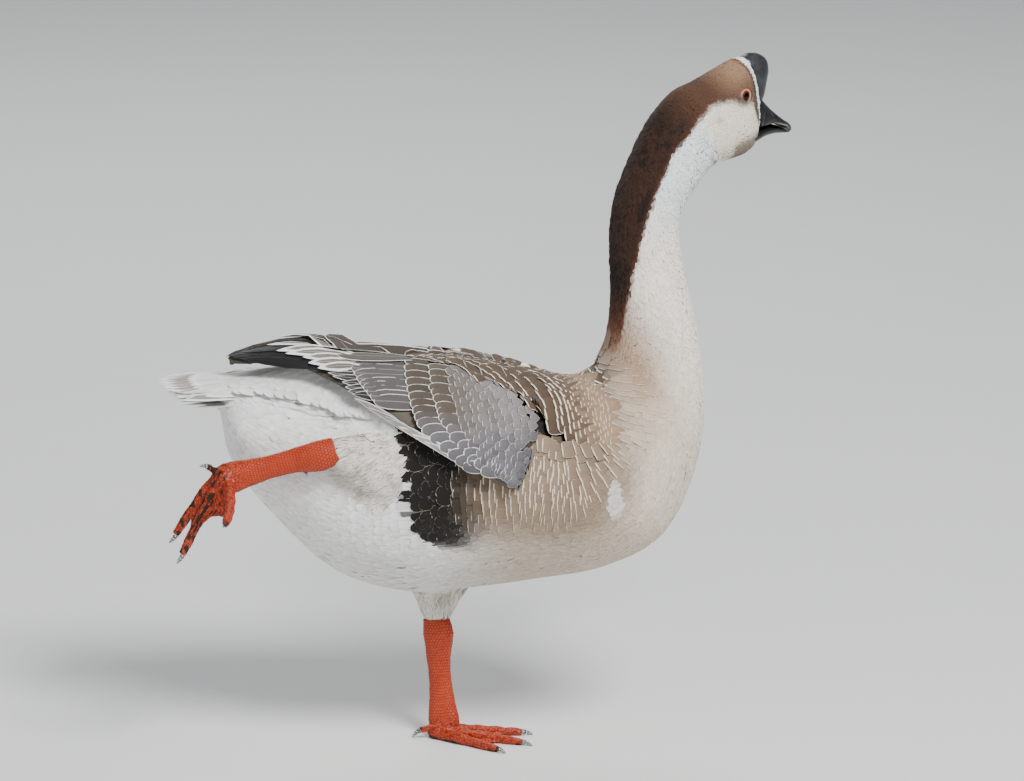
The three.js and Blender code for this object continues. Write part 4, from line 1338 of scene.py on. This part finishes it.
def make_rump(side):
    """Long white feathers over the tail's side, whose ends hang out as a shelf over the vent."""
    tract = Tract()
    count = 21
    for row in range(6):
        share = row / 5
        shares = (np.arange(count) + 0.25 + 0.5 * (row % 2)) / count
        low = curve_through(RUMP_LOW, shares)
        high = curve_through(RUMP_HIGH, shares)
        tips = low * (1 - share) + high * share + rng.normal(0, 1.1, (count, 2))
        roots = tips + np.array([44, 10 + 4 * share]) + rng.normal(0, 2.0, (count, 2))
        rise = 4.6 * (1 - share) ** 2 + 1.0
        lines, normals = plan_vanes(side, roots, tips, QUILL, [(0, -0.6), (0.6, 0.8), (1, rise)], -0.03,
                                    bare_surface)
        tint = tinted(WHITE, count, 0.05)
        tract.add(lines, normals, QUILL, 6.6, (tint, WHITE, (0.4, 1)), 4, 0.35, 0.2, 0.5 * SIDES[side])
    tract.build(f"rump_{side}", "quill", "feather_white")


# ---------------------------------------------------------------- tail, rump and thighs
def make_tail():
    tract = Tract()
    count = 16
    share = np.linspace(-1, 1, count)
    roots = np.stack([np.full(count, -176.0), BODY_Y + 26 * share, 352 - 3 * share**2], -1)
    tips = np.stack([-281 + 26 * share**2, BODY_Y + 50 * share, 356 - 7 * share**2], -1)
    shares = np.array([s for s, _ in POINTED])
    for lift, reach, hue in [(0.0, 1.0, TAIL_GREY), (2.4, 0.74, WHITE), (4.2, 0.5, WHITE)]:
        ends = roots + (tips - roots) * reach
        lines = roots[:, None] + (ends - roots)[:, None] * shares[None, :, None]
        lines[:, :, 2] += lift + 3.0 * np.sin(np.pi * shares)[None] - 0.8 * np.abs(share)[:, None]
        normals = np.zeros_like(lines) + np.array([0, 0, 1.0])
        normals[:, :, 1] += (0.35 * share)[:, None]
        tract.add(lines, unit(normals), POINTED, 8.0, (tinted(hue, count), WHITE, (2.2, 5)), 4, 0.4, 0.15,
                  -0.9 * np.sign(share))
    under = roots + (tips - roots) * 0.9
    lines = (roots - [0, 0, 9])[:, None] + (under - roots)[:, None] * shares[None, :, None]
    down = np.zeros_like(lines) - np.array([0, 0, 1.0])
    tract.add(lines, down, POINTED, 8.0, (tinted(WHITE, count), WHITE, (1, 2)), 4, 0.4, 0.1)
    tract.build("tail_feathers", "quill", "feather_white")


def scatter_on(name, count):
    """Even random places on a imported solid's faces."""
    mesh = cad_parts[name].data
    mesh.calc_loop_triangles()
    places = np.array([v.co for v in mesh.vertices]) / MM
    faces = np.array([t.vertices for t in mesh.loop_triangles])
    a, b, c = (places[faces[:, k]] for k in range(3))
    area = np.linalg.norm(np.cross(b - a, c - a), axis=-1)
    chosen = rng.choice(len(faces), count, p=area / area.sum())
    first, second = rng.random((2, count, 1))
    swap = first + second > 1
    first = np.where(swap, 1 - first, first)
    second = np.where(swap, 1 - second, second)
    return a[chosen] + (b - a)[chosen] * first + (c - a)[chosen] * second


def make_thigh(side, heading, count):
    """Loose strands that flow down a thigh to the bare shank."""
    tract = Tract()
    roots = scatter_on(f"thigh_{side}", count)
    near, _ = whole_surface.nearest(roots)
    roots = roots[np.linalg.norm(near - roots, axis=-1) < 2.5]
    count = len(roots)
    lengths = rng.uniform(13, 21, count)
    ways = np.array(heading) + rng.normal(0, 0.16, (count, 3))
    lines, normals = lay(whole_surface, roots, ways, lengths, STRAND, [(0, -1.5), (0.4, 0.2), (1, 1.8)])
    lines += (normals * ripple(roots, 9, 5)[:, None, None]) * np.linspace(0, 1.2, lines.shape[1])[None, :, None]
    tone = ramp(ripple(roots, 8, 9), -0.1, 0.5) * 0.7
    base = blend(THIGH, THIGH_STREAK, tone)
    edge = blend(base, WHITE, 0.5 + 0 * tone)
    tract.add(lines, normals, STRAND, rng.uniform(0.7, 1.6, count), (base, edge, (0.2, 1.5)), 2, 0.3, 0.1)
    tract.build(f"thigh_fluff_{side}", "soft", "feather_white")


# ---------------------------------------------------------------- bill, knob and eyes
BILL_UPPER = [
    head_section((21.8, 9.8), (40, -35.1), 35, -0.5, 2.2),
    head_section((37.2, -1.2), (47.4, -31.6), 34.3, -0.6, 2.2),
    head_section((51.7, -10.3), (57.9, -28.3), 31, -0.7, 2.2),
    head_section((65.4, -17.3), (69.9, -29.1), 28, -0.7, 2.2),
    head_section((79.4, -23.7), (82, -31), 25, -0.6, 2.4),
    head_section((91.5, -28.8), (90.5, -34), 19, -0.4, 2.4),
    head_section((99, -33), (95.5, -38), 9, 0, 2.2),
]
BILL_LOWER = [
    head_section((30, -36), (30, -51), 32, 0.4, 2.2),
    head_section((41, -34), (40, -48.5), 30, 0.4, 2.2),
    head_section((55, -31), (53, -43), 26.5, 0.4, 2.2),
    head_section((70, -31), (69, -39.5), 23, 0.4, 2.2),
    head_section((82, -32.5), (82, -38.4), 19.5, 0.3, 2.4),
    head_section((90.5, -35.4), (90, -38.2), 12, 0, 2.2),
]
KNOB = [
    head_section((44.2, -10.3), (20.4, -13.9), 20.3),
    head_section((45.4, 0.3), (15.6, -4), 27),
    head_section((45.5, 14.9), (11.2, 7.7), 28.6),
    head_section((45.2, 25.4), (7.6, 17.3), 28),
    head_section((40.4, 34.2), (6.1, 25.8), 24),
    head_section((31.5, 37.9), (8.6, 32.7), 14),
    head_section((22.9, 38.3), (16.7, 37.8), 4),
]
BILL_EDGE = np.array([(40, -35), (47, -31.6), (58, -28.3), (70, -29.1), (82, -31), (90.5, -34), (95.5, -38)])


def carve(item, change):
    """Moves an item's vertices along their normals by what change gives in the head's frame."""
    points = vertex_places(item)
    item.data.update()
    moved = points + vertex_normals(item) * change(*head_places(points))[:, None]
    move_vertices(item, moved)
    return item


def spot(forward, up, at, size):
    """A soft oval dent or bump: 1 at its middle and 0 outside."""
    return np.exp(-(((forward - at[0]) / size[0]) ** 2 + ((up - at[1]) / size[1]) ** 2) * 1.6)


def over_edge(forward, up):
    """How far a place is above the cutting edge of the upper bill."""
    return up - np.interp(forward, BILL_EDGE[:, 0], BILL_EDGE[:, 1])


def nostril_at(forward, up):
    along = (forward - 59) * 0.905 - (up + 20) * 0.425
    across = (forward - 59) * 0.425 + (up + 20) * 0.905
    return np.exp(-((along / 6.4) ** 2 + (across / 1.7) ** 2) * 1.6)


def upper_relief(forward, up, right):
    above = over_edge(forward, up)
    nail = ramp(forward, 83, 87) * (np.abs(right) < 8 - 0.25 * np.maximum(forward - 88, 0))
    teeth = (1 - ramp(above, 0.5, 2.4)) * np.sin(forward * 3.1) * 0.25 * (forward < 84)
    seam = 0.5 * np.exp(-(((above - 4.2) / 1.2) ** 2)) * (1 - ramp(forward, 70, 82))
    groove = 0.5 * spot(forward, up, (40, -22), (3, 12))
    return 0.6 * nail + teeth - seam - groove - 2.6 * nostril_at(forward, up) * (np.abs(right) > 4)


def lower_relief(forward, up, right):
    return 0.22 * np.sin(forward * 3.1) * ramp(over_edge(forward, up), -7, -3)


def knob_relief(forward, up, right):
    folds = np.sin(up * 0.9 + forward * 0.5 + 0.1 * right) * 0.16
    return folds * (1 - ramp(forward, 20, 38))


def add_values(item, name, values):
    layer = item.data.attributes.new(name, "FLOAT", "POINT")
    layer.data.foreach_set("value", np.asarray(values, np.float32))


def make_bill():
    pieces = [
        ("bill_upper_horn", BILL_UPPER, upper_relief, "bill", ["bill_upper"]),
        ("bill_lower_horn", BILL_LOWER, lower_relief, "bill_low", ["bill_lower"]),
        ("knob_skin", KNOB, knob_relief, "knob", ["knob"]),
    ]
    for name, sections, relief, material, nodes in pieces:
        grid, _, _ = loft_grid(sections, 130, 112)
        item = carve(capped_tube(name, grid), relief)
        forward, up, right = head_places(vertex_places(item))
        above = over_edge(forward, up)
        # pale: a painted highlight along the upper bill, about 1.6 mm above its cutting edge.
        pale = np.exp(-(((above - 1.6) / 1.0) ** 2)) * ramp(forward, 42, 50) * (1 - ramp(forward, 80, 88))
        # dark: the black nail, and the grin line's own dark along the cutting edge with painted shade in the gap
        # under it, which covers all of the lower bill, and painted shade in the nostril's dent.
        dark = np.maximum(ramp(forward, 83, 87), 1.3 * nostril_at(forward, up) * (np.abs(right) > 4))
        dark = np.maximum(dark, 0.8 * (1 - ramp(above, 0.1, 0.8)))
        add_values(item, "pale", pale)
        add_values(item, "dark", np.clip(dark, 0, 1))
        dress(item, material, nodes)


def axis_frame(axis):
    """Two directions across an axis, the second one near to straight up."""
    side = unit(np.cross(axis, [0, 0, 1.0]))
    return side, unit(np.cross(side, axis))


def make_eye(side):
    """An eyeball with a clear bulge in front, mapped round its own axis for the iris."""
    axis = EYE_AXES[side]
    across, up = axis_frame(axis)
    rings, columns = 40, 64
    polar, turn = np.meshgrid(
        np.linspace(0, math.pi, rings), np.linspace(0, 2 * math.pi, columns, endpoint=False), indexing="ij"
    )
    radius = EYE["ball"] + 0.5 * (1 - ramp(polar, 0, 0.7))
    grid = EYE_CENTRES[side] + radius[..., None] * (
        np.cos(polar)[..., None] * axis
        + np.sin(polar)[..., None] * (np.cos(turn)[..., None] * across + np.sin(turn)[..., None] * up)
    )
    item = capped_tube(f"eye_ball_{side}", grid)
    iris = math.asin(EYE["opening"] / EYE["ball"]) * 1.04
    uv = np.stack([turn.ravel() / (2 * math.pi), np.clip(polar.ravel() / iris, 0, 2)], -1)
    uv = np.concatenate([uv, [[0, 0]], [[0, 2]]])
    set_uv(item, "iris", uv)
    dress(item, "eye", [f"eye_{side}"])


def make_lids():
    """Bare rings of skin round the eyes, to be joined into the skin."""
    made = []
    for side in SIDES:
        axis = EYE_AXES[side]
        across, up = axis_frame(axis)
        turn, round_turn = np.meshgrid(
            np.linspace(0, 2 * math.pi, 96, endpoint=False),
            np.linspace(0, 2 * math.pi, 20, endpoint=False), indexing="ij",
        )
        wrinkle = 0.06 * np.sin(turn * 26) + 0.04 * np.sin(turn * 41 + 1)
        major = EYE["opening"] + EYE["lid"] * 0.7 + 0.25 * np.cos(2 * turn)
        minor_out = EYE["lid"] * (1 + wrinkle)
        out = major + minor_out * np.cos(round_turn)
        rise = 5.5 + 0.95 * minor_out * np.sin(round_turn)
        grid = EYE_CENTRES[side] + out[..., None] * (
            np.cos(turn)[..., None] * across + np.sin(turn)[..., None] * up
        ) + rise[..., None] * axis
        points = grid.reshape(-1, 3)
        rings, columns = grid.shape[:2]
        ring, column = np.meshgrid(np.arange(rings), np.arange(columns), indexing="ij")
        here = ring * columns + column
        beside = ring * columns + (column + 1) % columns
        far = ((ring + 1) % rings) * columns
        faces = np.stack([here, beside, far + (column + 1) % columns, far + column], -1).reshape(-1, 4)
        made.append(new_object(f"lid_{side}", points, faces))
    return made


# ---------------------------------------------------------------- legs
def cell_relief(points, size, seed=0.0):
    """Rounded scales about size across: their height from 0 in the creases to 1, at each point."""
    shift = Vector((seed, -seed, seed * 0.3))
    heights = np.empty(len(points))
    for number, place in enumerate((points / size).tolist()):
        distances, _ = noise.voronoi(Vector(place) + shift)
        heights[number] = distances[1] - distances[0]
    return ramp(heights, 0.0, 0.32)


def scute_relief(points, node):
    """Rows of small rounded scales round a shank: their height from 0 in the creases to 1."""
    places = np.array([v.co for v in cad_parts[node].data.vertices]) / MM
    middle = places.mean(0)
    axis = np.linalg.svd(places - middle)[2][0]
    across = unit(np.cross(axis, [0.2, 1.0, 0.1]))
    beside = np.cross(axis, across)
    local = points - middle
    along = local @ axis
    turn = np.arctan2(local @ beside, local @ across) / (2 * math.pi)
    wander = ripple(points, 12, 3)
    row = along / 2.7 + 0.35 * wander
    column = turn * 22 + 0.5 * np.floor(row) + 0.3 * ripple(points, 9, 7)
    off_row = np.abs(row - np.floor(row) - 0.5) * 2
    off_column = np.abs(column - np.floor(column) - 0.5) * 2
    return 1 - ramp(np.maximum(off_row, off_column), 0.6, 1.0)


def make_leg(side):
    item = fused(f"leg_{side}", [copy_node(f"shank_{side}"), copy_node(f"foot_{side}")], 0.7, 2)
    points = vertex_places(item)
    low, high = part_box(f"foot_{side}")
    nearest = np.clip(points, np.array(low) / MM, np.array(high) / MM)
    footed = 1 - ramp(np.linalg.norm(points - nearest, axis=-1), 0, 10)
    cells = cell_relief(points, 2.6, 1.0 if side == "right" else 4.0)
    relief = scute_relief(points, f"shank_{side}") * (1 - footed) + cells * footed
    item.data.update()
    swell = 0.5 * (relief - 0.6) + 0.3 * ripple(points, 9, 2)
    move_vertices(item, points + vertex_normals(item) * swell[:, None])
    # 1 in the creases between the scales, where the leg's material paints shade.
    add_values(item, "crease_shade", 1 - relief)
    if side == "right":
        dirt = ramp(-points[:, 0], 190, 225) * (0.45 + 0.7 * ripple(points * [1, 1, 0.5], 4, 8))
    else:
        dirt = (1 - ramp(points[:, 2], 1, 9)) * (0.45 + 0.5 * ripple(points, 7, 8))
    add_values(item, "dirt", dirt)
    dress(item, "leg", [f"shank_{side}", f"foot_{side}"])


def make_claws():
    for side in SIDES:
        for toe in ("hind", "inner", "middle", "outer"):
            name = f"claw_{side}_{toe}"
            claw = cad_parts[name]
            claw.data.materials.clear()
            claw.data.materials.append(MATERIALS["claw"])
            finer = claw.modifiers.new("finer", "SUBSURF")
            finer.levels = 1
            finer.render_levels = 1
            claw.data.polygons.foreach_set("use_smooth", np.full(len(claw.data.polygons), True))


def make_skin():
    shape_skin(skin)
    points = vertex_places(skin)
    base, _, _ = plumage(points)
    spots, _ = bare_surface.nearest(points)
    winged = ramp(np.linalg.norm(spots - points, axis=-1), 2.5, 5)
    apart = [np.linalg.norm(surface.nearest(points)[0] - points, axis=-1) for surface in WING_SURFACES.values()]
    winged = winged * (np.minimum(*apart) < 5.5)
    wing_hue = blend(QUILL_BLACK, COVERT, ramp(points[:, 0], -120, -80))
    base = np.where(winged[:, None] > 0.5, wing_hue, base)
    paint_vertices(skin, "base", base)
    set_uv(skin, "OFBake", unwrap(points))
    dress(skin, "skin", FLESH)
    lids = make_lids()
    skin.data.materials.append(MATERIALS["lid"])
    for lid in lids:
        lid.data.materials.append(MATERIALS["skin"])
        lid.data.materials.append(MATERIALS["lid"])
        lid.data.polygons.foreach_set("material_index", np.full(len(lid.data.polygons), 1, np.int32))
        paint_vertices(lid, "base", paint(236, 178, 140))
        set_uv(lid, "OFBake", unwrap(vertex_places(lid)))
    join([skin] + lids)


# ---------------------------------------------------------------- studio
def make_studio():
    bpy.ops.mesh.primitive_plane_add(size=40, location=(0, 6, 0))
    floor = bpy.context.object
    floor.name = "studio_floor"
    n = Nodes("studio_floor")
    solid = n.add("ShaderNodeTexCoord").outputs["Object"]
    shade = n.mix(n.noise(solid, 3.0), (0.74, 0.74, 0.735, 1), (0.78, 0.78, 0.77, 1))
    floor.data.materials.append(n.finish(Base_Color=shade, Roughness=0.9))

    lights = [
        ("key", (1.5, -2.4, 3.4), 1.6, 260),
        ("fill", (-2.8, -2.6, 1.8), 2.6, 24),
        ("rim", (-0.6, 2.8, 2.8), 2.4, 60),
    ]
    for name, place, size, power in lights:
        data = bpy.data.lights.new(name, "AREA")
        data.shape = "DISK"
        data.size = size
        data.energy = power
        lamp = bpy.data.objects.new(name, data)
        lamp.location = place
        lamp.rotation_euler = (Vector((0.05, 0, 0.35)) - Vector(place)).to_track_quat("-Z", "Y").to_euler()
        bpy.context.scene.collection.objects.link(lamp)

    world = bpy.data.worlds.new("studio")
    world.use_nodes = True
    world.node_tree.nodes["Background"].inputs["Color"].default_value = (0.86, 0.9, 0.95, 1)
    world.node_tree.nodes["Background"].inputs["Strength"].default_value = 0.34
    bpy.context.scene.world = world

    data = bpy.data.cameras.new("camera")
    data.lens = 210.94
    data.sensor_width = 36
    camera = bpy.data.objects.new("camera", data)
    camera.location = (0.05494, -5.53069, 1.72316)
    camera.rotation_euler = (math.radians(76), 0, 0)
    bpy.context.scene.collection.objects.link(camera)
    bpy.context.scene.camera = camera


make_studio()
make_bill()
for side in SIDES:
    make_eye(side)
    make_leg(side)
    make_wing(side)
    make_shoulder(side)
    make_rump(side)
make_claws()
make_head_coat()
make_neck_coat()
make_breast_coat()
make_belly_coat()
make_tail()
make_thigh("right", (-0.7, -0.1, -0.45), 2600)
make_thigh("left", (-0.1, 0.0, -1.0), 1800)
make_skin()
